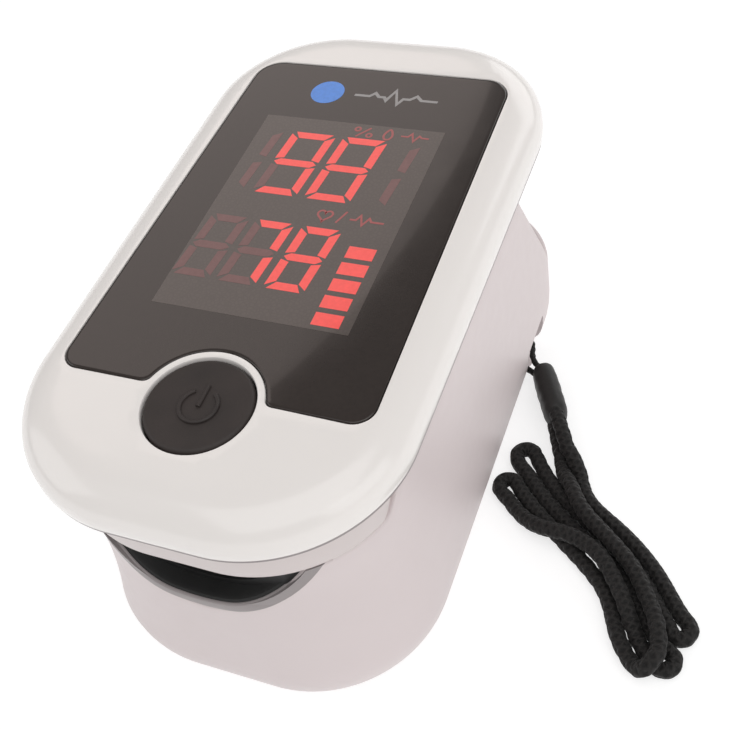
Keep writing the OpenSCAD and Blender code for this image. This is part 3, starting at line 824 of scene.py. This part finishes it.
def squared(s):
    """A sine or cosine for a section that is a little squarer than round."""
    return math.copysign(abs(s) ** 0.85, s)


def make_sleeve():
    """Shrink sleeve over the joint: a flattened tube on its edge, drawn in at both ends."""
    a, b = SLEEVE
    run = b - a
    size = float(np.linalg.norm(run))
    way = np.array((*run / size, 0))
    side = np.array((-way[1], way[0], 0))
    up = np.array((0, 0, 1))
    half_w, half_h = 1.3, 2.0
    rings = []
    for t in np.linspace(0, 1, 33):
        end = min(t, 1 - t) * size
        draw = 1 - 0.34 * math.exp(-end / 0.35) - 0.05 * math.exp(-end / 1.2)
        ripple = 1 + 0.018 * math.sin(t * 31) + 0.012 * math.sin(t * 17 + 1)
        w, h = half_w * draw * ripple, half_h * draw
        middle = np.array((*(a + run * t), half_h))
        rings.append([
            middle + side * w * squared(math.cos(p)) + up * h * squared(math.sin(p))
            for p in full_turn(32)
        ])
    skin = Skin()
    made = skin.loft(rings)
    for ring, points, sense in ((made[0], rings[0], 1), (made[-1], rings[-1], -1)):
        middle = np.mean(points, 0)
        inner = skin.ring([middle + (p - middle) * 0.7 + way * sense * 0.05 for p in points])
        deep = skin.ring([middle + (p - middle) * 0.6 + way * sense * 0.5 for p in points])
        skin.bridge(ring, inner)
        skin.bridge(inner, deep)
        skin.cap(deep)
    return skin.piece("shrink_sleeve", LOWER, "sleeve_black", "lanyard_sleeve", sharp=50)


# ---- upper half

SHOULDER = 4.2
SHOULDER_Z = 27.9
SHOULDER_POWER = 2.3


def cover_height(inset):
    """Height of the cover's top at a distance in from its outline."""
    t = np.clip((SHOULDER - np.asarray(inset, float)) / SHOULDER, 0, 1)
    rise = (1 - t**SHOULDER_POWER) ** (1 / SHOULDER_POWER)
    crown = 0.1 * np.clip((np.asarray(inset, float) - SHOULDER) / 6, 0, 1)
    return SHOULDER_Z + (TOP_Z - 0.12 - SHOULDER_Z) * rise + crown


def make_top_cover():
    skin = Skin()
    outline = casing(0)
    insets = [0.0, 0.03, 0.1, 0.22, 0.4, 0.64, 0.95, 1.35, 1.85, 2.4, 2.8]
    edge = [(WALL, SEAM_Z), (0.34, SEAM_Z), (0.14, SEAM_Z + 0.06), (0.04, SEAM_Z + 0.2),
            (0.0, SEAM_Z + 0.45)]
    rings = [at_height(casing(i), z) for i, z in edge]
    rings += [at_height(casing(i), float(cover_height(i))) for i in insets]
    skin.loft(rings)
    soft, steps = 0.12, (0.12, 0.05, 0.0)
    window_loops = [window_outline(0.08 + g) for g in steps]
    button_loops = [circle(0, BUTTON_Y, BUTTON_R + 0.16 + g, 72) for g in steps]

    def top(x, y):
        points = np.column_stack([x, y])
        return cover_height(np.clip(distance(points, outline), insets[-1], None))

    def lowered(loops):
        """The loops of a hole's softened edge, from the cover's top inward."""
        return [
            at_height(loop, top(*loop.T) - rounded(g, soft)) for loop, g in zip(loops, steps)
        ]

    skin.plate(casing(insets[-1]), [window_loops[0], button_loops[0]], 0.9, top)
    ledge_z = WINDOW[0][2] - 0.05
    (x0, y0), margin = SCREEN_AT, 0.8
    hole = rectangle(x0 - margin, y0 - margin, -x0 + margin, y0 + SCREEN_L + margin, 1.5)
    window_edge, button_edge = window_loops[-1], button_loops[-1]
    skin.loft(
        lowered(window_loops)
        + [at_height(window_edge, TOP_Z - 0.35), at_height(window_edge, ledge_z)]
    )
    skin.loft(lowered(button_loops) + [at_height(button_edge, CEILING_Z)])
    skin.plate(window_edge, [hole], 2.0, lambda x, y: ledge_z)
    skin.loft([at_height(hole, ledge_z), at_height(hole, CEILING_Z)])
    shelf, inner = CEILING_Z - 0.7, casing(2 * WALL)
    skin.loft([rings[0], at_height(casing(WALL), shelf), at_height(inner, shelf),
               at_height(inner, CEILING_Z)])
    skin.plate(inner, [hole, button_edge], 2.5, lambda x, y: CEILING_Z)
    skin.piece("cover_shell", UPPER, "cover_white", "top_cover", sharp=38)


def make_window():
    """Window panel with a softly rounded upper edge, and the filter over the display."""
    low_z, top_z = WINDOW[0][2], WINDOW[1][2]
    soft = 0.12
    steps = [(0.0, soft), (0.13 * soft, 0.5 * soft), (0.5 * soft, 0.13 * soft), (soft, 0.0),
             (soft + 0.25, 0.0)]
    skin = Skin()
    skin.solid([at_height(window_outline(0), low_z)]
               + [at_height(window_outline(-i), top_z - drop) for i, drop in steps])
    skin.piece("window_panel", UPPER, "window_black", "display_window")
    x0, y0 = SCREEN_AT
    skin = Skin()
    slab(skin, rectangle(x0, y0, x0 + SCREEN_W, y0 + SCREEN_L, 1.5), FILTER_Z, 0.1)
    skin.piece("screen_filter", UPPER, "display_block", material="screen_grey")


def slab(skin, outline, top_z, depth=0.06):
    """A thin flat inlay with straight sides."""
    skin.solid([at_height(outline, top_z - depth), at_height(outline, top_z)])


def stroke(points, width, closed=False):
    """Outline of a line of even width through the points, with mitred turns."""
    p = np.array(points, float)
    after = np.roll(p, -1, 0) - p
    if not closed:
        after[-1] = after[-2]
    after /= np.linalg.norm(after, axis=1)[:, None]
    before = np.roll(after, 1, 0)
    if not closed:
        before[0] = after[0]
    left = np.column_stack([-after[:, 1], after[:, 0]])
    off = left + np.column_stack([-before[:, 1], before[:, 0]])
    off /= np.linalg.norm(off, axis=1)[:, None]
    off /= np.clip((off * left).sum(1), 0.45, 1)[:, None]
    off *= width / 2
    return p + off, p - off


def line_slab(skin, points, width, top_z, closed=False):
    """A thin inlay that follows a line, with an even width."""
    low = top_z - 0.06
    rings = [
        [(*a, low), (*a, top_z), (*b, top_z), (*b, low)]
        for a, b in zip(*stroke(points, width, closed))
    ]
    if closed:
        made = skin.loft(rings)
        skin.bridge(made[-1], made[0])
    else:
        skin.solid(rings)


BAR_T = 0.86
LEAN = 0.08
BIG, SMALL = (15.0, 4.6, 8.9), (3.6, 3.9, 7.9)  # a digit's place up the screen, width and height
LIT_BARS = {7: (0, 2, 5), 8: (0, 1, 2, 3, 4, 5, 6), 9: (0, 1, 2, 3, 5, 6)}
GRAPH_PITCH, GRAPH_BAR = 1.98, 1.42


def segment(x, y, w, h, k):
    """Outline of one bar of a seven-bar digit with mitred ends; k runs top, upper left,
    upper right, middle, lower left, lower right, bottom."""
    t, gap, tip = BAR_T, 0.09, 0.25
    half = h / 2
    if k == 3:
        side, low, high = t * 0.6 + gap, half - t / 2, half + t / 2
        flat = [(gap, half), (side, low), (w - side, low), (w - gap, half), (w - side, high),
                (side, high)]
    elif k in (0, 6):
        out, inn = (h, h - t) if k == 0 else (0.0, t)
        flat = [(tip + gap, out), (w - tip - gap, out), (w - t - gap, inn), (t + gap, inn)]
    else:
        a, b = (0.0, t) if k in (1, 4) else (w, w - t)
        mid_out, mid_in, end_out, end_in = gap + t * 0.35, gap + t * 0.62, gap + tip, gap + t
        flat = [(a, mid_out), (a, half - end_out), (b, half - end_in), (b, mid_in)]
        if k in (1, 2):
            flat = [(px, half + py) for px, py in flat]
        else:
            flat = [(px, half - py) for px, py in flat]
    return [(x + px + LEAN * (py - half), y + py) for px, py in flat]


def make_segments():
    """Numerals 98 and 78 with the unlit bars of the same digits, and the bar graph."""
    x0, y0 = SCREEN_AT
    lit, dim = Skin(), Skin()
    for bars, x, (y, w, h) in (
        (LIT_BARS[9], 3.4, BIG), (LIT_BARS[8], 8.8, BIG), (LIT_BARS[7], 4.9, SMALL),
        (LIT_BARS[8], 9.6, SMALL), ((), 0.35, SMALL),
    ):
        for k in range(7):
            slab(lit if k in bars else dim, segment(x0 + x, y0 + y, w, h, k), BARS_Z)
    y, w, h = BIG
    for x in (-2.2, 12.2):
        for k in (2, 5):
            slab(dim, segment(x0 + x, y0 + y, w, h, k), BARS_Z)
    for i in range(5):
        y = y0 + 0.5 + i * GRAPH_PITCH
        slab(lit, rectangle(x0 + 15.15, y, x0 + 17.75, y + GRAPH_BAR, 5), BARS_Z)
    lit.piece("lit_bars", UPPER, "segment_lit", "lit_segments")
    dim.piece("unlit_bars", UPPER, "segment_dim", "dim_segments")


def heart(x, y, size):
    """Points of a heart outline."""
    t = full_turn(28)
    hx = 16 * np.sin(t) ** 3
    hy = 13 * np.cos(t) - 5 * np.cos(2 * t) - 2 * np.cos(3 * t) - np.cos(4 * t)
    return np.column_stack([x + hx * size / 32, y + hy * size / 30])


def droplet(x, y):
    """Points of a drop outline, pointed at its top."""
    t = full_turn(24)
    dx = 0.52 * np.sin(t) * (1 - 0.21 * (1 + np.cos(t)))
    dy = 0.62 * np.cos(t) + 0.12 * np.cos(t) ** 3
    return np.column_stack([x + dx, y + dy])


def make_symbols():
    """Generic marks: per cent and drop, heart and pulse on the screen; a dot and a trace
    above it."""
    x0, y0 = SCREEN_AT
    thin, wide = 0.2, 0.22
    labels = Skin()
    y = y0 + SCREEN_L - 1.15
    for cx, cy in ((10.1, 0.38), (11.5, -0.38)):
        line_slab(labels, circle(x0 + cx, y + cy, 0.27, 16), thin, BARS_Z, True)
    line_slab(labels, [(x0 + 10.2, y - 0.7), (x0 + 11.4, y + 0.7)], thin, BARS_Z)
    line_slab(labels, droplet(x0 + 13.4, y), wide, BARS_Z, True)
    trace = [(14.7, 0.0), (15.4, 0.0), (15.7, 0.5), (16.1, -0.6), (16.5, 0.25), (16.8, 0.0),
             (17.5, 0.0)]
    line_slab(labels, np.array(trace) + (x0, y), thin, BARS_Z)
    y = y0 + 13.15
    line_slab(labels, heart(x0 + 11.4, y, 1.45), thin, BARS_Z, True)
    line_slab(labels, [(x0 + 12.75, y - 0.75), (x0 + 13.35, y + 0.8)], thin, BARS_Z)
    trace = [(13.9, -0.1), (14.5, -0.1), (14.8, 0.55), (15.25, -0.65), (15.7, 0.3),
             (16.0, -0.1), (17.2, -0.1)]
    line_slab(labels, np.array(trace) + (x0, y), wide, BARS_Z)
    labels.piece("screen_symbols", UPPER, "segment_dim", material="label_dim")

    mark = Skin()
    y = y0 + 30.3
    slab(mark, circle(x0 + 4.8, y, 1.75, 40), FILTER_Z)
    mark.piece("blue_dot", UPPER, "window_black", material="mark_blue")
    pulse = Skin()
    trace = [(7.8, 0), (9.4, 0), (9.9, 0.55), (10.4, 0), (11.0, 0), (11.3, -0.45), (11.9, 1.2),
             (12.6, -0.9), (13.0, 0), (13.7, 0), (14.3, 0.6), (14.9, 0), (16.6, 0)]
    line_slab(pulse, np.array(trace) + (x0, y), 0.34, FILTER_Z)
    pulse.piece("pulse_trace", UPPER, "window_black", material="mark_grey")


def make_button():
    """Rubber button: a soft rim, a shallow dish and a raised power mark."""
    skin = Skin()
    r, top_z = BUTTON_R, TOP_Z - 0.02
    foot_z, flange_z, cap_z = 27.42, 28.15, 28.75
    round_r, foot_r = 0.4, 1.5
    profile = [(foot_r, foot_z), (foot_r, flange_z), (r + FLANGE, flange_z), (r + FLANGE, cap_z),
               (r, cap_z), (r, top_z - round_r - 0.02)]
    profile += arc(r - round_r, top_z - round_r, round_r, 15, 75, 3)
    profile += [(r - round_r, top_z), (r - 0.9, top_z - 0.03), (r - 1.4, top_z - 0.1),
                (2.6, top_z - 0.17), (1.6, top_z - 0.2), (0.8, top_z - 0.21)]
    skin.solid([at_height(circle(0, BUTTON_Y, radius, 72), z) for radius, z in profile])
    ridge_z = top_z - 0.17
    mark_r = 1.62
    ring = [(x, y, ridge_z) for x, y in arc(0, BUTTON_Y - 0.05, mark_r, 56, -236, 39)]
    bar = [(0, BUTTON_Y + d, ridge_z) for d in np.linspace(-0.15, 2.05, 10)]
    for path in (ring, bar):
        sweep(skin, path, 0.2, 12)
    skin.piece("rubber_button", "button", "button_rubber", "power_button", sharp=50)


def lip_bottom(y):
    """Height of the lip's lower edge beside a place along the casing."""
    slope = (SEAM_Z + 0.5 - LIP_Z) / 4.0
    return LIP_Z + np.clip((np.asarray(y) + 22.4) * slope, 0, SEAM_Z - LIP_Z)


def make_lip():
    """The lip of the upper tray that shows under the cover at the finger end."""
    plain, outer, inner = casing(LOWER_INSET), casing(1.58, 1.0), casing(2.9, 1.0)
    top_z = SEAM_Z - 0.04
    front = [i for i in range(len(plain)) if plain[i][1] < -18.6]
    front.sort(key=lambda i: math.atan2(outer[i][0], -outer[i][1] - 10))
    rings = []
    for i in front:
        low = min(float(lip_bottom(plain[i][1])), top_z - 0.12)
        out, back = outer[i], inner[i]
        way = (back - out) / np.linalg.norm(back - out)
        soft = min(0.45, (top_z - low) * 0.4)
        ring = [(*out, top_z)]
        for a in np.radians((90, 60, 30, 0)):
            ring.append((*(out + way * soft * (1 - math.sin(a))), low + soft * (1 - math.cos(a))))
        rings.append(ring + [(*back, low), (*back, top_z)])
    skin = Skin()
    skin.solid(rings)
    skin.piece("tray_lip", UPPER, "tray_white", sharp=60)


def make_seam_shadow_band():
    """Painted shadow: a thin dark grey band just under the cover's edge, standing in for the shadow in the joint.
    """
    skin = Skin()
    edge = [(0.1, 0.1), (0.1, -0.14), (0.16, -0.2), (0.9, -0.2), (0.9, 0.1)]
    made = skin.loft([at_height(casing(i), SEAM_Z + z) for i, z in edge])
    skin.bridge(made[-1], made[0])
    skin.piece("seam_shadow_band", UPPER, "tray_grey")


# ---- lower half


def mouth_arc(x):
    """Height of the mouth's lower edge at a place across the casing."""
    x = np.clip(np.abs(x), 0, MOUTH_R - 1e-6)
    return MOUTH_Z + MOUTH_R - np.sqrt(MOUTH_R**2 - x * x)


def shell_rim(points):
    """Height of the lower casing's rim at each point of its outline."""
    x, y = points[:, 0], points[:, 1]
    rim = np.full(len(points), RIM_Z)
    slope = (RIM_Z + 1 - LIP_Z + 0.2) / 4.0
    lip = LIP_Z - 0.12 + np.clip((y + 22.0) * slope, 0, None)
    rim = np.minimum(rim, lip)
    fall = (RIM_Z - V_LOW[1]) / (V_LOW[0] - V_START_Y)
    rim = np.minimum(rim, np.where(y > V_START_Y, RIM_Z - (y - V_START_Y) * fall, RIM_Z))
    rear = V_LOW[1] - (y - V_LOW[0]) * 0.11
    rim = np.where(y > V_LOW[0], rear, rim)
    mouth = np.where((np.abs(x) < MOUTH_HALF) & (y < 0), mouth_arc(x), 99.0)
    return np.minimum(rim, mouth)


def wall_ring(inset, heights):
    """A loop round the lower casing's wall at the given heights. The wall leans in at the
    finger end."""
    plain = casing(LOWER_INSET + inset)
    leaning = casing(LOWER_INSET + inset + RAKE, FRONT_EASE)
    z = np.broadcast_to(np.asarray(heights, float), len(plain))
    reach = np.clip((-plain[:, 1] - 8.0) / 15.0, 0, 1)
    share = np.clip((z - BOTTOM_H) / 13.0, 0, 1)
    lean = (share * (1.6 - 0.6 * share) * reach * reach * (3 - 2 * reach))[:, None]
    return np.column_stack([plain + (leaning - plain) * lean, z])


def wall_front(x, z):
    """Place of the lower casing's front wall at x, and the direction into the casing there."""
    loop = wall_ring(0, z)[:, :2]
    loop = loop[loop[:, 1] < -10]
    loop = loop[np.argsort(loop[:, 0])]
    y0, y1 = np.interp((x - 0.1, x + 0.1), loop[:, 0], loop[:, 1])
    inward = np.array((y0 - y1, 0.2))
    return np.array((x, (y0 + y1) / 2)), inward / np.linalg.norm(inward)


# The underside's rounded edge, as (inset, height)
BOTTOM = ((3.3, 0.0), (2.75, 0.03), (2.2, 0.14), (1.65, 0.36), (1.15, 0.72), (0.72, 1.2),
          (0.4, 1.85), (0.17, 2.6), (0.04, 3.4), (0.0, 4.2))
BOTTOM_H = BOTTOM[-1][1]


def make_bottom_cover():
    """Lower casing with the openings for its door, screws and lanyard post."""
    skin = Skin()
    rim = np.minimum(shell_rim(casing(LOWER_INSET)), SEAM_Z - 0.28)
    soft = 0.4
    rings = [at_height(casing(LOWER_INSET + i), z) for i, z in BOTTOM]
    for share in np.linspace(0, 1, 12)[1:]:
        rings.append(wall_ring(0, BOTTOM_H + (rim - soft - BOTTOM_H) * share))
    for a in np.radians((22, 45, 68, 90)):
        rings.append(wall_ring(soft * (1 - math.cos(a)), rim - soft * (1 - math.sin(a))))
    rings.append(wall_ring(0.9, rim))
    rings.append(wall_ring(0.9, np.minimum(rim - 0.6, 14.0)))
    rings.append(wall_ring(WALL, np.minimum(rim - 0.9, 5.0)))
    rings.append(at_height(casing(LOWER_INSET + WALL + 0.6), 1.6))
    skin.solid(rings)
    shell = skin.build("lower_shell", "shell_pale", 40)
    cuts = Skin()
    half, front = DOOR_HALF + 0.15, DOOR[0][1] - 0.2
    whole = 60  # a step longer than any side, so only the corners are made
    doorway = rectangle(-half, front, half, REAR_Y + 2, whole)
    cuts.solid([at_height(doorway, z) for z in (-1, 1.7)])
    for at in SCREW_PLACES:
        cuts.solid([at_height(circle(*at, 1.5, 40), z) for z in (-1, 1.2)])
    pocket = rectangle(12.1, 11.1, 20, 17.3, whole)
    cuts.solid([at_height(pocket, z) for z in (0.8, 4.8)])
    carve(shell, cuts)
    place(shell, LOWER, "shell_pale", "bottom_cover")
    post = Skin()
    profile = [(1.9, 0.4), (1.55, 0.75), (1.4, 1.2), (1.4, 4.4), (1.55, 4.85), (1.9, 5.2)]
    post.solid([at_height(circle(*POST_AT, r, 28), z) for r, z in profile])
    post.piece("lanyard_post", LOWER, "shell_pale")


def carve(obj, cuts):
    """Cuts one closed mesh out of another."""
    cutter = cuts.build("cutter", "shell_pale", 0)
    modifier = obj.modifiers.new("cut", "BOOLEAN")
    modifier.operation = "DIFFERENCE"
    modifier.solver = "EXACT"
    modifier.use_self = True
    modifier.object = cutter
    bpy.context.view_layer.update()
    depsgraph = bpy.context.evaluated_depsgraph_get()
    mesh = bpy.data.meshes.new_from_object(obj.evaluated_get(depsgraph))
    obj.modifiers.clear()
    old, obj.data = obj.data, mesh
    smooth(mesh, old.materials[0])
    bpy.data.meshes.remove(old)
    bpy.data.objects.remove(cutter)


def mouth_strip(name, slot, section, half, rear=None):
    """A bent strip along the mouth. Section gives (toward the mouth's middle, into the casing).
    Its inner points go back to the rear, where that is given."""
    rings = []
    for x in MOUTH_R * np.sin(np.linspace(-1, 1, 65) * math.asin(half / MOUTH_R)):
        z = float(mouth_arc(x))
        base, inward = wall_front(x, z)
        inward = np.array((*inward, 0))
        up = np.array((-x / MOUTH_R, 0, (MOUTH_Z + MOUTH_R - z) / MOUTH_R))
        ring = [np.array((*base, z)) + up * a + inward * b for a, b in section]
        if rear is not None:
            for point, (_, b) in zip(ring, section):
                if b > 1:
                    point[1] = max(rear, point[1])
        rings.append(ring)
    skin = Skin()
    skin.solid(rings)
    skin.piece(name, LOWER, slot, sharp=50)


def make_mouth_rim():
    """Grey rim of the mouth, and the pad's black front that laps over it from inside."""
    thick, depth, soft = 1.17, 0.45, 0.18
    section = []
    for cx, cy, a0 in ((thick - soft, depth - soft, 0), (soft, depth - soft, 90), (soft, soft, 180),
                       (thick - soft, soft, 270)):
        section += [(0.03 + x, y - 0.06) for x, y in arc(cx, cy, soft, a0, a0 + 90, 4)]
    mouth_strip("mouth_rim", "tray_grey", section, 11.5)
    soft, thick = 0.25, 1.38
    section = [(0.3, 0.2), (thick - soft, 0.2)]
    section += arc(thick - soft, 0.2 + soft, soft, 270, 360, 5)[1:]
    section += [(thick, 0.9), (thick, 3.2), (0.3, 3.2)]
    mouth_strip("pad_front", "silicone_black", section, 11.3, LOWER_PAD[0][1] + 0.7)


def pad_outline(inset, front, rear, half_w, ease=0.0):
    """Outline of a finger pad: the casing's inner outline, cut by a box."""
    hw, rf = HALF_W - inset, CORNER_FRONT - inset + ease
    cx, cy = hw - rf, FRONT_Y + inset + rf
    x_front = cx
    if front > FRONT_Y + inset:
        x_front += math.sqrt(max(rf**2 - (front - cy) ** 2, 0.01))
    a0 = math.degrees(math.atan2(max(front, FRONT_Y + inset) - cy, x_front - cx))
    y_side = cy - math.sqrt(rf**2 - (half_w - cx) ** 2)
    a1 = math.degrees(math.atan2(y_side - cy, half_w - cx))
    front = arc(cx, cy, rf, a0, a1, 8)
    rear = arc(half_w - 1.0, rear - 1.0, 1.0, 0, 90, 5)
    return joined((front, 26), (rear, 18), (mirrored(rear), 26), (mirrored(front), 14))


def smooth_min(a, b, k):
    h = np.clip(0.5 + 0.5 * (b - a) / k, 0, 1)
    return b + (a - b) * h - k * h * (1 - h)


def make_pads():
    """Silicone pads: a finger groove below, a shallow arch above, each with a window hole."""
    low_z, top_z = LOWER_PAD[0][2], LOWER_PAD[1][2]
    groove_r, groove_end = 9.0, -1.5
    sensor_y, half = -8.0, 2.6
    well_z = 15.3
    hole = rectangle(-half, sensor_y - half, half, sensor_y + half, 0.6)

    def lower(x, y):
        past = np.clip(y - groove_end, 0, None)
        away = np.minimum(x**2 + past**2, groove_r**2 - 0.01)
        bowl = top_z + 5 - np.sqrt(groove_r**2 - away)
        ribs = 0.05 * np.cos(2 * math.pi * y / 1.6) * (np.abs(x) > 7.6) * (np.abs(x) < 10.6)
        return smooth_min(bowl, top_z - 0.06 + ribs, 0.7)

    skin = Skin()
    outline = pad_outline(2.1, LOWER_PAD[0][1], LOWER_PAD[1][1], LOWER_PAD[1][0], FRONT_EASE)
    skin.plate(outline, [hole], 0.62, lower)
    for loop, base_z in ((outline, low_z), (hole, well_z)):
        made = skin.loft([at_height(loop, lower(*loop.T)), at_height(loop, base_z)])
        skin.cap(made[1])
    pad = skin.piece("lower_finger_pad", LOWER, "silicone_black", "lower_pad", sharp=50)

    base_z, back_z = UPPER_PAD[0][2], UPPER_PAD[1][2]
    drop, half = 1.75, 7.5
    arch_r = (half**2 + drop**2) / (2 * drop)

    def upper(x, y):
        arch = base_z + drop - arch_r + np.sqrt(np.maximum(arch_r**2 - x**2, 0.01))
        end = np.clip((UPPER_PAD[1][1] - 2.0 - y) / 1.2, 0, 1)
        arch = base_z + (arch - base_z) * end
        return -smooth_min(-arch, -(base_z + 0.03), 0.5)

    skin = Skin()
    outline = pad_outline(2.6, UPPER_PAD[0][1], UPPER_PAD[1][1], UPPER_PAD[1][0])
    skin.plate(outline, [hole], 0.7, upper)
    skin.plate(outline, [hole], 3.0, lambda x, y: back_z)
    for loop in (outline, hole):
        skin.loft([at_height(loop, upper(*loop.T)), at_height(loop, back_z)])
    pad = skin.piece("upper_finger_pad", UPPER, "silicone_black", "upper_pad", sharp=50)


def make_battery_door():
    """Sliding door: the casing's own underside, with grip ridges and an arrow at its rear."""
    skin = Skin()
    front, top_z = DOOR[0][1], DOOR[1][2]
    rows = [(2.0, DOOR[0][2])] + [(i, z) for i, z in BOTTOM if 0.2 < z < 1.5] + [(0.62, top_z)]
    xs = np.linspace(DOOR_HALF, -DOOR_HALF, 31)
    rings = []
    for inset, z in rows:
        loop = casing(LOWER_INSET + inset)
        rear = loop[loop[:, 1] > 10]
        rear = rear[np.argsort(rear[:, 0])]
        points = [(-DOOR_HALF, front), (DOOR_HALF, front)]
        points += zip(xs, np.interp(xs, rear[:, 0], rear[:, 1]))
        rings.append(at_height(points, z))
    skin.solid(rings)
    door = skin.build("door_leaf", "shell_pale", 40)
    cuts = Skin()
    for i in range(5):
        y = 17.35 + i * 1.6
        sweep(cuts, [(x, y, 0.12) for x in np.linspace(-5.2, 5.2, 9)], 0.42, 16)
    arrow = [(-1.8, 13.0), (1.8, 13.0), (0, 15.4)]
    cuts.solid([at_height(arrow, z) for z in (-0.5, 0.42)])
    carve(door, cuts)
    place(door, "door", "shell_pale", "battery_door")


# ---- inside


def make_springs():
    """Torsion springs round the hinge pin, and cone springs at the cells' ends."""
    wire = 0.24
    hy, hz = HINGE[1], HINGE[2]
    r, turns = 1.9 - wire, 4.5
    for middle, name in ((-5.6, "torsion_spring_left"), (5.6, "torsion_spring_right")):
        x0, x1 = middle - 1.3, middle + 1.3
        path = [(x0, hy - 4.1, hz - r), (x0, hy - 2.0, hz - r)]
        for t in np.linspace(0, 1, int(turns * 22) + 1):
            a = 2 * math.pi * turns * t
            path.append((x0 + (x1 - x0) * t, hy - r * math.sin(a), hz - r * math.cos(a)))
        path += [(x1, hy + 2.2, hz + r), (x1, hy + 4.8, hz + r)]
        skin = Skin()
        sweep(skin, path, wire, 10)
        spring = skin.build(name, "spring_steel", 0)
        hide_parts("torsion_springs")
        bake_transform(spring)
    low, high = span("battery_springs")
    left = span("battery_left")
    z = (left[0][2] + left[1][2]) / 2
    far = abs(left[0][0] + left[1][0]) / 2
    for x, name in ((-far, "cell_spring_left"), (far, "cell_spring_right")):
        path = []
        for t in np.linspace(0, 1, 90):
            a, r = 2 * math.pi * 3.6 * t, 2.7 - 0.9 * t
            y = high[1] - 0.3 - (high[1] - low[1] - 0.5) * t
            path.append((x + r * math.cos(a), y, z + r * math.sin(a)))
        skin = Skin()
        sweep(skin, path, 0.26, 8)
        skin.piece(name, LOWER, "spring_steel", "battery_springs", sharp=0)


def make_cells():
    for node, name in (("battery_left", "cell_left"), ("battery_right", "cell_right")):
        low, high = span(node)
        x, z = (low[0] + high[0]) / 2, (low[2] + high[2]) / 2
        r = (high[0] - low[0]) / 2
        y0, y1 = low[1], high[1]
        profile = [(0.5, y0), (r - 1.2, y0), (r - 0.6, y0 + 0.15), (r - 0.15, y0 + 0.35),
                   (r - 0.02, y0 + 0.8), (r - 0.02, y1 - 1.7), (r - 0.2, y1 - 1.2),
                   (r - 0.7, y1 - 0.95), (r - 1.4, y1 - 0.85), (2.3, y1 - 0.8),
                   (1.9, y1 - 0.72), (1.85, y1 - 0.15), (1.6, y1), (0.4, y1)]
        skin = Skin()
        skin.solid([
            [(x + p * math.cos(a), y, z + p * math.sin(a)) for a in full_turn(56)]
            for p, y in profile
        ])
        skin.piece(name, LOWER, "cell_wrap", node)


# ---- the whole

make_materials()
dress()
make_camera()
make_light()
make_floor()
make_lanyard()
make_top_cover()
make_window()
make_segments()
make_symbols()
make_button()
make_lip()
# A painted shadow band under the cover's edge
make_seam_shadow_band()
make_bottom_cover()
make_mouth_rim()
make_pads()
make_battery_door()
make_springs()
make_cells()
